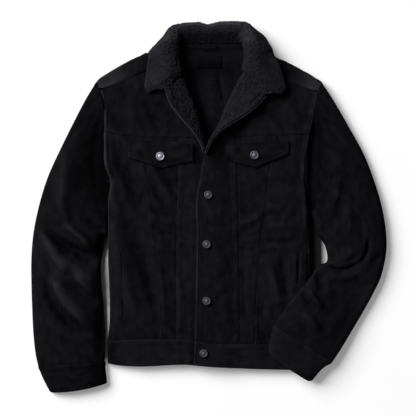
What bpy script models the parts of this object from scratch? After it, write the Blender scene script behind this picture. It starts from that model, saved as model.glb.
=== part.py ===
"""A sherpa lined corduroy jacket, buttoned and laid flat on its back.

The back rests on z = 0, the collar points along +Y and the hem along -Y.  "Left" is -X.
Lengths in the tables are in millimetres, and build_mesh turns them into metres.
The cloth is a wall between an outer skin and the same skin moved in by the wall.
"""
import math

import bmesh
import bpy
import numpy as np

NAME = "sherpa_lined_jacket"

# Walls of cloth.
FRONT_WALL = 8.0        # corduroy with the sherpa quilted behind it
PLACKET_WALL = 5.0      # corduroy and facing, no sherpa
SHELL_WALL = 2.5        # corduroy alone
LINING_WALL = 6.0       # sherpa alone
BAND_WALL = 4.5         # hem band and cuffs, two plies of corduroy
SLEEVE_WALL = 5.0       # corduroy with a quilted lining
COLLAR_WALL = 7.0
FLAP_WALL = 4.0
WELT_WALL = 2.0

YOKE_COLUMNS = 12       # columns of points across the back yoke
BACK_COLUMNS = 9
LINING_INSET = 18.0     # how far inside the side seams the lining ends
LINING_LEVELS = [-270.0, -118.0, 15.0, 132.0, 208.0]    # below these it follows the yoke's rows
LINING_CLEAR = 0.7      # between the lining and the back
HALF_GAP = 0.25         # half of the gap left along each seam
ARMHOLE_GAP = 0.8
OPEN_EDGE_RADIUS = 2.0  # soft corner along an armhole
BULGE_POWER = 2.5       # how flat the middle of a laid tube is
SEAM_ANGLE = 0.03       # share of the rounded side left free at a side seam
SIDE_TURN = [-1 + SEAM_ANGLE, -0.5, 0.0]                # columns round a left side
OTHER_TURN = [1.0, 1.5, 2 - SEAM_ANGLE]                 # columns round a right side
ROW_CLEAR = 4.0         # rings nearer than this to a seam across the body are left out
SEAM_PASSES = 3         # a seam's points settle on its line in this many passes

# The placket lies on the front below it, and comes down to the panel beyond it.
PLACKET_LIFT = 5.5
LIFT_ENDS = (14.0, 62.0)

# The collar's fall lies under the neck and lifts the back there.
NECK_LIFT = 9.5
NECK_LIFT_Y = (262.0, 300.0)
NECK_LIFT_X = (118.0, 162.0)
NECK_MIDDLE = -2.0

# How far short of its roll line a front ends inside the turned lapel.
ROLL_ALLOWANCE = 8.5

# Rings of the body, from the hem to the neck: place, side to side, height in the middle,
# thickness at the sides, and whether the left and right sides are folded or open.
BODY_COLUMNS = ("y", "left", "right", "height", "side", "fold_left", "fold_right")
BODY = (
    (-336, -209, 199, 21, 13, 1, 1),
    (-319, -209, 200, 21.5, 13.5, 1, 1),
    (-278, -209, 204, 24, 17, 1, 1),
    (-241, -204, 206, 28, 20, 1, 1),
    (-200, -202.5, 207, 30, 20, 1, 1),
    (-118, -205.5, 206.5, 30, 20, 1, 1),
    (-51, -205.5, 206, 31, 20, 1, 1),
    (15, -207, 200, 32, 20, 1, 1),
    (56, -203, 196, 32, 20, 1, 1),
    (84, -213, 194, 32, 21, 0, 0),
    (132, -216, 202, 31, 21, 0, 0),
    (179, -215.5, 212.5, 30, 21, 0, 0),
    (208, -217, 217, 29, 21, 0, 0),
    (236, -223, 223, 27, 21, 0, 0),
    (255, -227, 227, 25, 20, 1, 1),
    (265, -219, 208, 24, 20, 1, 1),
    (279, -195, 186, 23, 20, 1, 1),
    (297, -163, 154, 22, 20, 1, 1),
    (304, -148, 133, 22, 20, 1, 1),
    (310, -130, 110, 21.5, 20, 1, 1),
    (314, -110, 97, 21, 20, 1, 1),
    (319, -98, 92, 21, 20, 1, 1),
    (325, -89, 86, 21, 20, 1, 1),
    (331, -82, 81, 21, 20, 1, 1),
)

# Lines across the body, as (x, y).
HEM_LINE = ((-210, -320), (-187, -324.5), (-152, -326.5), (-38, -323.5),
            (-5, -326.5), (42, -329.5), (104, -332), (201, -334.5))
HEM_SEAM = ((-210, -272), (-32, -273), (1, -278), (104, -280), (207, -281.5))
CHEST_SEAM = ((-218, 155.5), (-209, 153), (-152, 145), (-35, 141.5),
              (46, 143), (114, 147), (200, 150), (211, 151))
BACK_YOKE_SEAM = ((-230, 214), (0, 208), (230, 214))
NECK_SEAM = ((-100, 331), (100, 331))

# Lines up the body, as (y, x).
PLACKET_EDGE = ((-336, -34), (-278, -29.5), (-190, -27), (-88, -25.5), (-36, -26.5),
                (5, -28), (30, -24.5), (66, -16.5), (97, -8), (115, -1.5), (126, 8.5), (143, 15))
UNDER_EDGE = ((-336, 9.5), (76, 9.5), (97, 3.5), (113, -9), (126, -15.5), (143, -20.5))
LEFT_ROLL = ((126, -7), (163, -13), (204, -27.5), (234, -39.5),
             (267, -52), (296, -62), (331, -64.5))
RIGHT_ROLL = ((128, 1), (169, 17.5), (210, 34), (251, 52.5), (279, 67), (312, 71), (331, 69))
LEFT_OUTER_SEAM = ((-274, -96), (-241, -97), (-190, -101), (-129, -107), (-87, -111.5),
                   (-36, -116.5), (15, -120), (46, -127), (82, -130.5), (147, -136))
LEFT_INNER_SEAM = ((-274, -68.5), (-87, -67.5), (82, -64.5), (147, -63))
RIGHT_INNER_SEAM = ((-281, 61), (-87, 59.5), (80, 55.5), (147, 53.5))
RIGHT_OUTER_SEAM = ((-281, 93.5), (-241, 93.5), (-149, 97.5), (-67, 104), (-32, 107.5),
                    (-1, 114), (50, 117.5), (89, 123.5), (150, 128.5))
LEFT_SHOULDER_SEAM = ((240, -224.5), (255, -188), (265, -165), (279, -128), (297, -85),
                      (308, -72.5), (318, -71.5), (331, -70.5))
RIGHT_SHOULDER_SEAM = ((235, 223), (255, 168.5), (265, 147), (279, 118), (297, 86.5),
                       (308, 80.5), (318, 79.5), (331, 79))

# Rings of the sleeves, from the armhole to the cuff: the outer and the inner fold, the
# height and the thickness at the folds, how much of the armhole's curve the ring keeps,
# and how much of it lies on the body.
SLEEVE_COLUMNS = ("out_x", "out_y", "in_x", "in_y", "height", "side", "armhole", "over")
LEFT_SLEEVE = (
    (-227, 255, -203, 56, 26, 20, 1, 0),
    (-249, 221, -206, 41, 27, 19, 0.75, 0),
    (-275.5, 172.5, -209.5, 23, 28, 18, 0.45, 0),
    (-301, 120, -210.5, 0, 29, 18, 0.2, 0),
    (-331, 60, -210.5, -26, 30, 18, 0, 0),
    (-353.5, -10, -210, -57, 30, 18, 0, 0),
    (-361.5, -59, -217, -88, 30, 18, 0, 0),
    (-364, -104, -222.5, -116, 29, 18, 0, 0),
    (-364, -153, -221.5, -157, 29, 18, 0, 0),
    (-362.5, -206, -217, -202, 28, 17, 0, 0),
    (-358.5, -258, -214.5, -254, 27, 16, 0, 0),
    (-351.5, -301, -214.5, -293, 26, 15, 0, 0),
    (-345, -325.5, -215.5, -316, 24, 14, 0, 0),
)
LEFT_CUFF = (
    (-345, -326.5, -215.5, -317, 24, 14, 0, 0),
    (-336, -350, -213.5, -336, 22, 14, 0, 0),
    (-323.5, -377.5, -210, -356, 20, 13, 0, 0),
)
RIGHT_SLEEVE = (
    (227.5, 255, 196, 56, 26, 20, 1, 0),
    (251.5, 220, 199, 35, 27, 19, 0.75, 0),
    (283.5, 163.5, 203, 15, 28, 18, 0.45, 0),
    (313, 113, 206, -8, 29, 18, 0.2, 0),
    (336.5, 60, 210, -32, 30, 18, 0, 0),
    (355, 0, 217, -59, 30, 18, 0, 0),
    (363, -53, 234, -82.5, 30, 18, 0, 0),
    (362, -98, 241, -112, 29, 18, 0, 0),
    (353, -141, 229, -123.5, 28, 18, 0, 0.3),
    (335.5, -174, 209.5, -139, 27, 17, 0, 0.7),
    (313, -213, 188, -164.5, 26, 16, 0, 1),
    (288.5, -254, 161, -197, 25, 15, 0, 1),
    (265, -292.5, 143, -224, 24, 14, 0, 1),
    (250.5, -316, 131, -239.5, 23, 14, 0, 1),
)
RIGHT_CUFF = (
    (249.5, -317, 130.5, -240.5, 23, 14, 0, 1),
    (231, -331.5, 125.5, -266, 21, 13.5, 0, 1),
    (209.5, -356, 119, -293.5, 19, 13, 0, 1),
)
CUFF_BOW = 5.0          # how far the middle of a cuff's end stands out
OVER_GAP = 1.2          # clearance of the right forearm over the body
OVER_FALL = 75.0        # how far past the body's side the forearm comes down to the floor
HEM_FALL = (4.0, 40.0)  # where past the hem the cuff starts to come down, and how far it takes
CUFF_COLUMNS = SIDE_TURN + [0.2, 0.4, 0.6, 0.8] + OTHER_TURN
CUFF_BOWS = (0.0, 0.6, 1.0)     # share of the bow in each of a cuff's rings

# Main folds of the sleeves: from, to, depth and half width of a soft trough.
FOLD_COLUMNS = ("x0", "y0", "x1", "y1", "depth", "reach")
LEFT_FOLDS = (
    (-335, -46, -231, -103, 7, 11),
    (-259, -23, -216, -49, 5, 10),
    (-315, -156, -233, -196, 5, 11),
    (-330, -202, -250, -255, 5, 12),
)
RIGHT_FOLDS = (
    (242, -118, 310, -113, 7, 9),
    (310, -113, 325, -65, 6, 10),
    (221, -130, 232, -178, 5, 10),
    (212, 110, 212, -20, 6, 8),
)

# The lapels, from the notch down to the first button: the free edge and the roll line.
LAPEL_COLUMNS = ("edge_x", "edge_y", "roll_x", "roll_y")
LEFT_LAPEL = (
    (-89, 235, -55, 274),
    (-83, 214, -46, 250.5),
    (-68.5, 192, -36.5, 226),
    (-52, 172.5, -27.5, 201.5),
    (-34.5, 153, -17, 173.5),
    (-21, 136, -10, 145),
    (-12, 119.5, -7, 125.5),
)
RIGHT_LAPEL = (
    (113, 220, 67, 277),
    (93.5, 199.5, 54.5, 250.5),
    (69, 181, 42.5, 226),
    (46.5, 167.5, 31, 201.5),
    (26, 154.5, 20, 173.5),
    (9.5, 139, 7.5, 147),
    (-1, 120.5, 0.7, 127.5),
)
LAPEL_SHELL = 2.2       # the turned corduroy, seen as a rim around the sherpa
LAPEL_RIM = 6.5         # height of the rim
LAPEL_RIM_EDGE = 3.5    # height of the rim's outer edge
LAPEL_RIM_WIDTH = 4.6
LAPEL_SHELL_SHORT = 10.0    # how far short of the roll line the shell stops
LAPEL_FACING = 5.0
LAPEL_CLEAR = 0.8
LAPEL_GAP = 0.4         # between the shell and the facing on it
LAPEL_ROLL_RADIUS = 8.0
LAPEL_ROLL_DROP = 4.0
LAPEL_PROBES = 9        # points across each row that find the front's height below it

# The collar, from its left point round the back of the neck to its right point: the free
# edge, the middle and the crown of the fall, the roll line, and the neck seam.
COLLAR = (
    ((-126, 231.5, 33), (-107, 238.5, 36), (-95, 241.5, 37), (-82, 246, 33), (-82, 246, 28)),
    ((-133.5, 246.5, 33), (-113.5, 250.5, 37), (-89, 257, 39), (-68.5, 261, 33), (-68.5, 261, 28)),
    ((-129.5, 275, 33), (-107.5, 275, 38), (-76.5, 275, 42), (-56, 276, 35), (-55, 276, 29)),
    ((-125, 306, 40), (-105.5, 305, 43), (-78.5, 302, 44), (-62, 302, 37), (-60, 302, 30)),
    ((-127, 318, 31), (-114, 323, 40), (-85, 325, 44), (-64, 324.5, 38), (-60, 325, 30)),
    ((-121, 323, 13), (-119, 330, 26), (-88, 331, 43), (-65, 332, 37), (-59, 331, 27)),
    ((-105, 318, 0), (-116, 332, 11), (-89, 337, 40), (-64, 339, 36), (-57, 336, 25)),
    ((-74.5, 308, 0), (-100, 345, 6), (-83, 351, 34), (-63, 353, 32), (-52, 336, 23)),
    ((-44, 308, 0), (-73, 366, 4), (-74, 371, 20), (-60, 366.5, 27), (-41, 335, 22)),
    ((-19, 308, 0), (-25.5, 366, 1), (-27.5, 378.5, 10), (-25, 371, 22), (-21, 335, 21.5)),
    ((-3, 308, 0), (-3, 362, 1), (-3, 374.5, 10), (-3, 367, 22), (-3, 335, 21.5)),
    ((22, 308, 0), (26, 366, 1), (26, 380, 10), (24, 372, 22), (20, 335, 21.5)),
    ((46.5, 308, 0), (67, 370, 4), (76, 377, 20), (65, 369.5, 27), (43.5, 335, 22)),
    ((77, 308, 0), (107, 350, 6), (87.5, 357, 34), (68, 353, 32), (57, 336, 23)),
    ((106, 316, 0), (120, 333, 11), (95.5, 337, 40), (71, 335, 36), (63, 335, 25)),
    ((124, 320, 13), (124, 327, 26), (96, 330, 43), (72, 329, 37), (66, 329, 27)),
    ((131, 312, 24), (125, 319, 36), (95.5, 320.5, 44), (73, 320.5, 38), (69, 322, 30)),
    ((141, 298, 38), (123, 300, 42), (93.5, 299, 44), (71, 299.5, 37), (69, 299.5, 30)),
    ((152, 267, 33), (132.5, 273, 38), (97.5, 277, 42), (68, 278.5, 35), (67, 278.5, 29)),
    ((157, 244.5, 33), (138.5, 250.5, 38), (110, 258.5, 40), (85.5, 261, 33), (85.5, 261, 28)),
    ((149, 229.5, 33), (134.5, 230.5, 36), (122, 231, 37), (110, 232, 33), (110, 232, 28)),
)
WING_ROWS = 4           # rows at each end whose fall lies on the fronts
STAND_ROWS = (2, 19)    # rows that have a stand
FALL_COLUMNS = 7
STAND_GAP = 0.6
STAND_WALL = 5.0
STAND_COLUMNS = 4
WING_CLEAR = 1.2

# Pocket flaps: x, upper edge, lower edge.
LEFT_FLAP = ((-166, 136, 101), (-133, 136, 91), (-100, 135.5, 79), (-66, 133, 87), (-32, 129, 93))
RIGHT_FLAP = ((34, 128, 97), (64, 130, 87.5), (94.5, 132.5, 80.5), (131, 133.5, 95), (163, 134, 109))
FLAP_CLEAR = 0.5
FLAP_GRID = (9, 4)      # points across and down
FLAP_EDGE = 0.75        # share of the wall left at the flap's upper and lower edge

# Side pocket welts: centre line x at the bottom and the top, and the span in y.
LEFT_WELT = (-183, -187, -226, -92)
RIGHT_WELT = (190, 189, -150, -92)
WELT_WIDTH = 12.0
WELT_ROWS = 6

LINING_TOP = SHELL_WALL + LINING_CLEAR + LINING_WALL
LABEL_SIZE = (50.0, 25.0, 0.8)
LABEL_CENTRE = (-1.5, 299.0)
LABEL_GRID = (5, 4)
LABEL_CLEAR = 0.4
LOOP_SPAN = 33.0
LOOP_BOW = (10.0, 1.5)  # how far the loop hangs down the neck, and rises off it
LOOP_POINTS = 9
LOOP_CLEAR = 0.5
LOOP_RADIUS = 1.8
LOOP_CENTRE = (-3.0, 330.0)

BUTTON_SIDES = 14
BUTTON_CLEAR = 0.5
BUTTON_PROBE = 8.0      # half of the patch of cloth that a button stands on
FLAP_BUTTON = (19.0, 4.5)
PLACKET_BUTTON = (17.5, 4.5)
FLAP_BUTTONS = (("button_flap_left", -100, 104), ("button_flap_right", 92, 106.5))
PLACKET_BUTTONS = (("button_1", -2.5, 25.5), ("button_2", -5.5, -75.5),
                   ("button_3", -5.5, -191), ("button_4", -11.5, -298.5))

# A button's profile: share of its radius, share of its height.
BUTTON_PROFILE = ((0.8, 0.0), (1.0, 0.4), (0.95, 0.85), (0.8, 0.9), (0.65, 0.7), (0.35, 0.95),
                  (0.0, 1.0))

CORDUROY = ("corduroy", (0.012, 0.012, 0.016, 1.0), 0.95, 0.0)
SHERPA = ("sherpa", (0.024, 0.023, 0.026, 1.0), 1.0, 0.0)
LINING = ("label_satin", (0.015, 0.015, 0.018, 1.0), 0.6, 0.0)
METAL = ("gunmetal", (0.24, 0.24, 0.25, 1.0), 0.4, 1.0)


def clear_scene():
    for thing in list(bpy.data.objects):
        bpy.data.objects.remove(thing, do_unlink=True)


def finish(kind):
    """One Principled material for each kind of cloth or metal."""
    name, colour, roughness, metallic = kind
    made = bpy.data.materials.get(name)
    if made is None:
        made = bpy.data.materials.new(name)
        made.use_nodes = True
        shader = made.node_tree.nodes["Principled BSDF"]
        shader.inputs["Base Color"].default_value = colour
        shader.inputs["Roughness"].default_value = roughness
        shader.inputs["Metallic"].default_value = metallic
        made.diffuse_color = colour
    return made


def add_object(name, data, kind):
    part = bpy.data.objects.new(name, data)
    data.materials.append(finish(kind))
    bpy.data.collections[NAME].objects.link(part)
    return part


def build_mesh(name, outer, inner, kind):
    """Close two matching grids of points, in mm, into one wall of cloth."""
    rows, columns = outer.shape[:2]
    points = np.concatenate([outer.reshape(-1, 3), inner.reshape(-1, 3)]) / 1000
    half = rows * columns
    index = np.arange(half).reshape(rows, columns)
    a, b, c, d = index[:-1, :-1], index[:-1, 1:], index[1:, 1:], index[1:, :-1]
    skin = np.stack([a, b, c, d], -1).reshape(-1, 4)
    back = skin[:, ::-1] + half
    rim = np.concatenate([index[0], index[1:, -1], index[-1, -2::-1], index[-2:0:-1, 0]])
    onward = np.roll(rim, -1)
    side = np.stack([rim, rim + half, onward + half, onward], -1)
    mesh = bpy.data.meshes.new(name)
    mesh.from_pydata(points.tolist(), [], np.concatenate([skin, back, side]).tolist())
    work = bmesh.new()
    work.from_mesh(mesh)
    bmesh.ops.remove_doubles(work, verts=work.verts, dist=0.00002)
    bmesh.ops.triangulate(work, faces=work.faces)
    bmesh.ops.recalc_face_normals(work, faces=work.faces)
    work.to_mesh(mesh)
    work.free()
    mesh.update()
    return add_object(name, mesh, kind)


def soft_step(value):
    value = np.clip(value, 0, 1)
    return value * value * (3 - 2 * value)


def along(line, at):
    """The line's second number where its first is at."""
    first, second = zip(*line)
    return np.interp(at, first, second)


def body_ring(y):
    """The body's ring at each y, by column name."""
    table = np.array(BODY, float)
    return {name: np.interp(y, table[:, 0], table[:, i]) for i, name in enumerate(BODY_COLUMNS)}


def by_name(rows, names):
    """A table's columns by name, each as a column of its own for the rows of a grid."""
    return {name: np.array(column, float)[:, None] for name, column in zip(names, zip(*rows))}


def neck_lift(x, y):
    low, high = NECK_LIFT_Y
    near, far = NECK_LIFT_X
    sideways = (far - np.abs(x - NECK_MIDDLE)) / (far - near)
    return NECK_LIFT * soft_step((y - low) / (high - low)) * soft_step(sideways)


def placket_lift(x):
    near, far = LIFT_ENDS
    return PLACKET_LIFT * soft_step((far - x) / (far - near))


def corner_radii(ring):
    """Radius of the rounded left and right sides of a ring."""
    half = ring["side"] / 2
    return (np.maximum(ring["fold_left"] * half, OPEN_EDGE_RADIUS),
            np.maximum(ring["fold_right"] * half, OPEN_EDGE_RADIUS))


def section(width, height, side, left_radius, right_radius, at, upper):
    """A flat-bottomed arch.  at runs -1..0 round the left side, 0..1 across, 1..2 round the
    right side.  Gives the distance from the left end and the height of each point."""
    left_turn = np.clip(1 + at, 0, 1) * math.pi / 2
    right_turn = np.clip(2 - at, 0, 1) * math.pi / 2
    middle = np.clip(at, 0, 1)
    across = left_radius + middle * (width - left_radius - right_radius)
    across = across - left_radius * np.cos(left_turn) + right_radius * np.cos(right_turn)
    drop = left_radius * (1 - np.sin(left_turn)) + right_radius * (1 - np.sin(right_turn))
    if not upper:
        return across, drop
    bulge = 1 - np.abs(2 * across / width - 1) ** BULGE_POWER
    return across, side - drop + (height - side) * bulge


def walled_section(width, height, side, left_radius, right_radius, at, upper, wall):
    """The outer and inner points of the arch's wall, as two pairs of (across, up)."""
    step = 0.02
    shape = (width, height, side, left_radius, right_radius)
    across, up = section(*shape, at, upper)
    after = section(*shape, np.minimum(at + step, 2), upper)
    before = section(*shape, np.maximum(at - step, -1), upper)
    run, rise = after[0] - before[0], after[1] - before[1]
    sign = 1.0 if upper else -1.0
    normal = np.stack([-rise * sign, run * sign], -1)
    normal /= np.linalg.norm(normal, axis=-1, keepdims=True)
    radius = np.where(at < 0.5, left_radius, right_radius)
    folded = np.clip(2 * radius / side, 0, 1)[..., None]
    normal = folded * normal + (1 - folded) * np.array([0.0, sign])
    normal /= np.linalg.norm(normal, axis=-1, keepdims=True)
    return (across, up), (across - wall * normal[..., 0], up - wall * normal[..., 1])


def body_at(x, y):
    """Where x falls along the ring at y: see section."""
    ring = body_ring(y)
    left_radius, right_radius = corner_radii(ring)
    from_left = x - ring["left"]
    from_right = ring["right"] - x
    span = ring["right"] - ring["left"] - left_radius - right_radius
    at = (from_left - left_radius) / span
    left_turn = np.arccos(np.clip(1 - from_left / left_radius, -1, 1))
    right_turn = np.arccos(np.clip(1 - from_right / right_radius, -1, 1))
    at = np.where(from_left < left_radius, left_turn / (math.pi / 2) - 1, at)
    return np.where(from_right < right_radius, 2 - right_turn / (math.pi / 2), at)


def body_skin(at, y, upper, wall, lifted=False):
    """Outer and inner points of the body's wall."""
    ring = body_ring(y)
    radii = corner_radii(ring)
    skins = walled_section(ring["right"] - ring["left"], ring["height"], ring["side"],
                           *radii, at, upper, wall)
    outer_x = ring["left"] + skins[0][0]
    rise = neck_lift(outer_x, y)
    if lifted:
        rise = rise + placket_lift(outer_x)
    return tuple(np.stack([ring["left"] + across, y, up + rise], -1) for across, up in skins)


def body_top(x, y, lifted=False):
    x, y = np.broadcast_arrays(np.asarray(x, float), np.asarray(y, float))
    return body_skin(body_at(x, y), y, True, 0.0, lifted)[0][..., 2]


def body_panel(name, bottom, top, left, right, columns, wall, kind=CORDUROY,
               upper=True, lifted=False):
    """A panel between a lower and an upper line across the body.  left and right are lines
    up the body, or None for the side seam or armhole at the end of the ring."""
    middle_x = 0.0
    if left is not None and right is not None:
        middle_x = (along(left, 0) + along(right, 0)) / 2
    sides = [along(bottom, x) for x in (-200, middle_x, 200)]
    tops = [along(top, x) for x in (-200, middle_x, 200)]
    inside = [row[0] for row in BODY if max(sides) + ROW_CLEAR < row[0] < min(tops) - ROW_CLEAR]
    levels = [None] + inside + [None]
    grid_at, grid_y = [], []
    for number, level in enumerate(levels):
        line = bottom if number == 0 else top
        sign = 1 if number == 0 else -1
        y = np.full(columns, sides[1] if number == 0 else tops[1]) if level is None else \
            np.full(columns, float(level))
        for _ in range(SEAM_PASSES if level is None else 1):
            starts = SIDE_TURN[:2] if left is None else []
            ends = OTHER_TURN[1:] if right is None else []
            first = 0.0 if left is None else body_at(along(left, y[0]) + HALF_GAP, y[0])
            last = 1.0 if right is None else body_at(along(right, y[-1]) - HALF_GAP, y[-1])
            middle = np.linspace(first, last, columns - len(starts) - len(ends))
            at = np.array(starts + list(middle) + ends)
            if level is None:
                x = body_skin(at, y, upper, wall)[0][:, 0]
                y = along(line, x) + sign * HALF_GAP
        grid_at.append(at)
        grid_y.append(y)
    outer, inner = body_skin(np.array(grid_at), np.array(grid_y), upper, wall, lifted)
    return build_mesh(name, outer, inner, kind)


def offset_line(line, by):
    return tuple((y, x + by) for y, x in line)


def make_fronts():
    shift = ROLL_ALLOWANCE
    left_roll = offset_line(LEFT_ROLL, -shift)
    right_roll = offset_line(RIGHT_ROLL, shift)
    body_panel("front_side_left", HEM_SEAM, CHEST_SEAM, None, LEFT_OUTER_SEAM, 7, FRONT_WALL)
    body_panel("front_mid_left", HEM_SEAM, CHEST_SEAM, LEFT_OUTER_SEAM, LEFT_INNER_SEAM, 5,
               FRONT_WALL)
    body_panel("front_centre_left", HEM_SEAM, CHEST_SEAM, LEFT_INNER_SEAM, UNDER_EDGE, 5,
               PLACKET_WALL)
    body_panel("front_centre_right", HEM_SEAM, CHEST_SEAM, PLACKET_EDGE, RIGHT_INNER_SEAM, 6,
               PLACKET_WALL, lifted=True)
    body_panel("front_mid_right", HEM_SEAM, CHEST_SEAM, RIGHT_INNER_SEAM, RIGHT_OUTER_SEAM, 5,
               FRONT_WALL, lifted=True)
    body_panel("front_side_right", HEM_SEAM, CHEST_SEAM, RIGHT_OUTER_SEAM, None, 7, FRONT_WALL)
    body_panel("hem_front_left", HEM_LINE, HEM_SEAM, None, UNDER_EDGE, 11, BAND_WALL)
    body_panel("hem_front_right", HEM_LINE, HEM_SEAM, PLACKET_EDGE, None, 12, BAND_WALL,
               lifted=True)
    chest_yoke("chest_yoke_left", LEFT_SHOULDER_SEAM, left_roll, True)
    chest_yoke("chest_yoke_right", RIGHT_SHOULDER_SEAM, right_roll, False)
    shoulder("shoulder_left", LEFT_SHOULDER_SEAM, True)
    shoulder("shoulder_right", RIGHT_SHOULDER_SEAM, False)


def chest_yoke(name, seam, roll, is_left):
    """The front above the chest seam: its outer side is the armhole, then the shoulder seam."""
    columns = 8
    seam_start = seam[0][0]
    levels = [row[0] for row in BODY if 160 < row[0] < 300] + [seam_start]
    levels = [None] + sorted(levels)
    grid_at, grid_y = [], []
    for level in levels:
        y = np.full(columns, 145.0 if level is None else float(level))
        for _ in range(SEAM_PASSES if level is None else 1):
            inner_end = along(roll, y[-1] if is_left else y[0])
            outer_end = None if y[0] <= seam_start else along(seam, y[0])
            if is_left:
                lead = SIDE_TURN if outer_end is None else []
                first = 0.12 if outer_end is None else body_at(outer_end + HALF_GAP, y[0])
                last = body_at(inner_end, y[-1])
                at = np.array(lead + list(np.linspace(first, last, columns - len(lead))))
            else:
                trail = OTHER_TURN if outer_end is None else []
                last = 0.88 if outer_end is None else body_at(outer_end - HALF_GAP, y[0])
                first = body_at(inner_end, y[0])
                at = np.array(list(np.linspace(first, last, columns - len(trail))) + trail)
            if level is None:
                x = body_skin(at, y, True, FRONT_WALL)[0][:, 0]
                y = along(CHEST_SEAM, x) + HALF_GAP
        grid_at.append(at)
        grid_y.append(y)
    outer, inner = body_skin(np.array(grid_at), np.array(grid_y), True, FRONT_WALL,
                             lifted=not is_left)
    return build_mesh(name, outer, inner, CORDUROY)


def shoulder(name, seam, is_left):
    """The strip of yoke between the shoulder fold and the seam across the front."""
    start = seam[0][0] + 4
    levels = [start] + [row[0] for row in BODY if row[0] > start + 3]
    grid_at, grid_y = [], []
    for level in levels:
        y = np.full(6, float(level))
        if is_left:
            end = body_at(along(seam, level) - HALF_GAP, y[0])
            at = SIDE_TURN[:2] + list(np.linspace(0, end, 4))
        else:
            end = body_at(along(seam, level) + HALF_GAP, y[0])
            at = list(np.linspace(end, 1, 4)) + OTHER_TURN[1:]
        grid_at.append(at)
        grid_y.append(y)
    outer, inner = body_skin(np.array(grid_at), np.array(grid_y), True, FRONT_WALL)
    return build_mesh(name, outer, inner, CORDUROY)


def make_back():
    body_panel("hem_back", HEM_LINE, HEM_SEAM, None, None, BACK_COLUMNS, BAND_WALL, upper=False)
    body_panel("back_panel", HEM_SEAM, BACK_YOKE_SEAM, None, None, BACK_COLUMNS, SHELL_WALL, upper=False)
    body_panel("back_yoke", BACK_YOKE_SEAM, NECK_SEAM, None, None, YOKE_COLUMNS, SHELL_WALL, upper=False)
    levels = LINING_LEVELS + [row[0] for row in BODY if LINING_LEVELS[-1] < row[0] < 325] + [329.0]
    at = np.linspace(0, 1, YOKE_COLUMNS - 4)
    at, y = np.meshgrid(at, levels)
    ring = body_ring(y)
    x = body_skin(at, y, False, 0.0)[0][..., 0]
    x = np.clip(x, ring["left"] + LINING_INSET, ring["right"] - LINING_INSET)
    floor = SHELL_WALL + LINING_CLEAR + neck_lift(x, y)
    build_mesh("back_lining", np.stack([x, y, floor + LINING_WALL], -1),
               np.stack([x, y, floor], -1), SHERPA)


def armhole_curve(is_left):
    """The armhole as y and x, from the shoulder's tip to the underarm."""
    rows = [row for row in BODY if 50 < row[0] < 260]
    return np.array([row[0] for row in rows]), np.array([row[1 if is_left else 2] for row in rows])


def fold_depth(folds, x, y):
    """How far the soft troughs pull the cloth in at x, y."""
    depth = np.zeros_like(x)
    for row in folds:
        fold = dict(zip(FOLD_COLUMNS, row))
        run_x, run_y = fold["x1"] - fold["x0"], fold["y1"] - fold["y0"]
        past_x, past_y = x - fold["x0"], y - fold["y0"]
        share = np.clip((past_x * run_x + past_y * run_y) / (run_x ** 2 + run_y ** 2), 0, 1)
        away = np.hypot(past_x - share * run_x, past_y - share * run_y)
        depth = np.maximum(depth, fold["depth"] * np.exp(-(away / fold["reach"]) ** 2))
    return depth


def support(x, y):
    """Height of what the right forearm lies on: the body, then a fall to the floor."""
    ring = body_ring(y)
    right = ring["right"]
    inside = np.minimum(x, right - ring["side"] / 2)
    on_body = body_top(inside, y, True) + OVER_GAP
    past_side = (x - right) / OVER_FALL
    past_hem = (HEM_LINE[-1][1] - HEM_FALL[0] - y) / HEM_FALL[1]
    return on_body * (1 - soft_step(past_side)) * (1 - soft_step(past_hem))


def tube_skin(rows, at, is_left, upper, wall, folds=(), bow=None):
    """Outer and inner points of a laid tube.  Each row runs from the outer to the inner fold;
    on the left side that is along +X, on the right side along -X."""
    ring = by_name(rows, SLEEVE_COLUMNS)
    out_x, out_y, side = ring["out_x"], ring["out_y"], ring["side"]
    run_x, run_y = ring["in_x"] - out_x, ring["in_y"] - out_y
    width = np.hypot(run_x, run_y)
    at = np.broadcast_to(at, (len(rows), len(at)))
    skins = walled_section(width, ring["height"], side, side / 2, side / 2, at, upper, wall)
    curve_y, curve_x = armhole_curve(is_left)
    result = []
    for across, up in skins:
        share = across / width
        x = out_x + share * run_x
        y = out_y + share * run_y
        chord_y = curve_y[-1] + share * (curve_y[0] - curve_y[-1])
        chord_x = curve_x[-1] + share * (curve_x[0] - curve_x[-1])
        x = x + ring["armhole"] * (np.interp(chord_y, curve_y, curve_x) - chord_x)
        if bow is not None:
            push = bow[:, None] * 4 * share * (1 - share)
            x = x + push * run_y / width * (1 if is_left else -1)
            y = y - push * np.abs(run_x) / width
        result.append([x, y, up])
    outer_x, outer_y = result[0][:2]
    base = ring["over"] * support(outer_x, outer_y)
    inside = np.clip(2 * skins[0][1] / side - 1, 0, 1)
    dent = inside * fold_depth(folds, outer_x, outer_y) if upper else 0.0
    return tuple(np.stack([x, y, up + base - dent], -1) for x, y, up in result)


def refine(rows, times):
    """More rings between those of the table, by straight interpolation."""
    table = np.array(rows, float)
    finer = np.linspace(0, len(table) - 1, (len(table) - 1) * times + 1)
    return np.stack([np.interp(finer, np.arange(len(table)), column) for column in table.T], -1)


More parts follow.
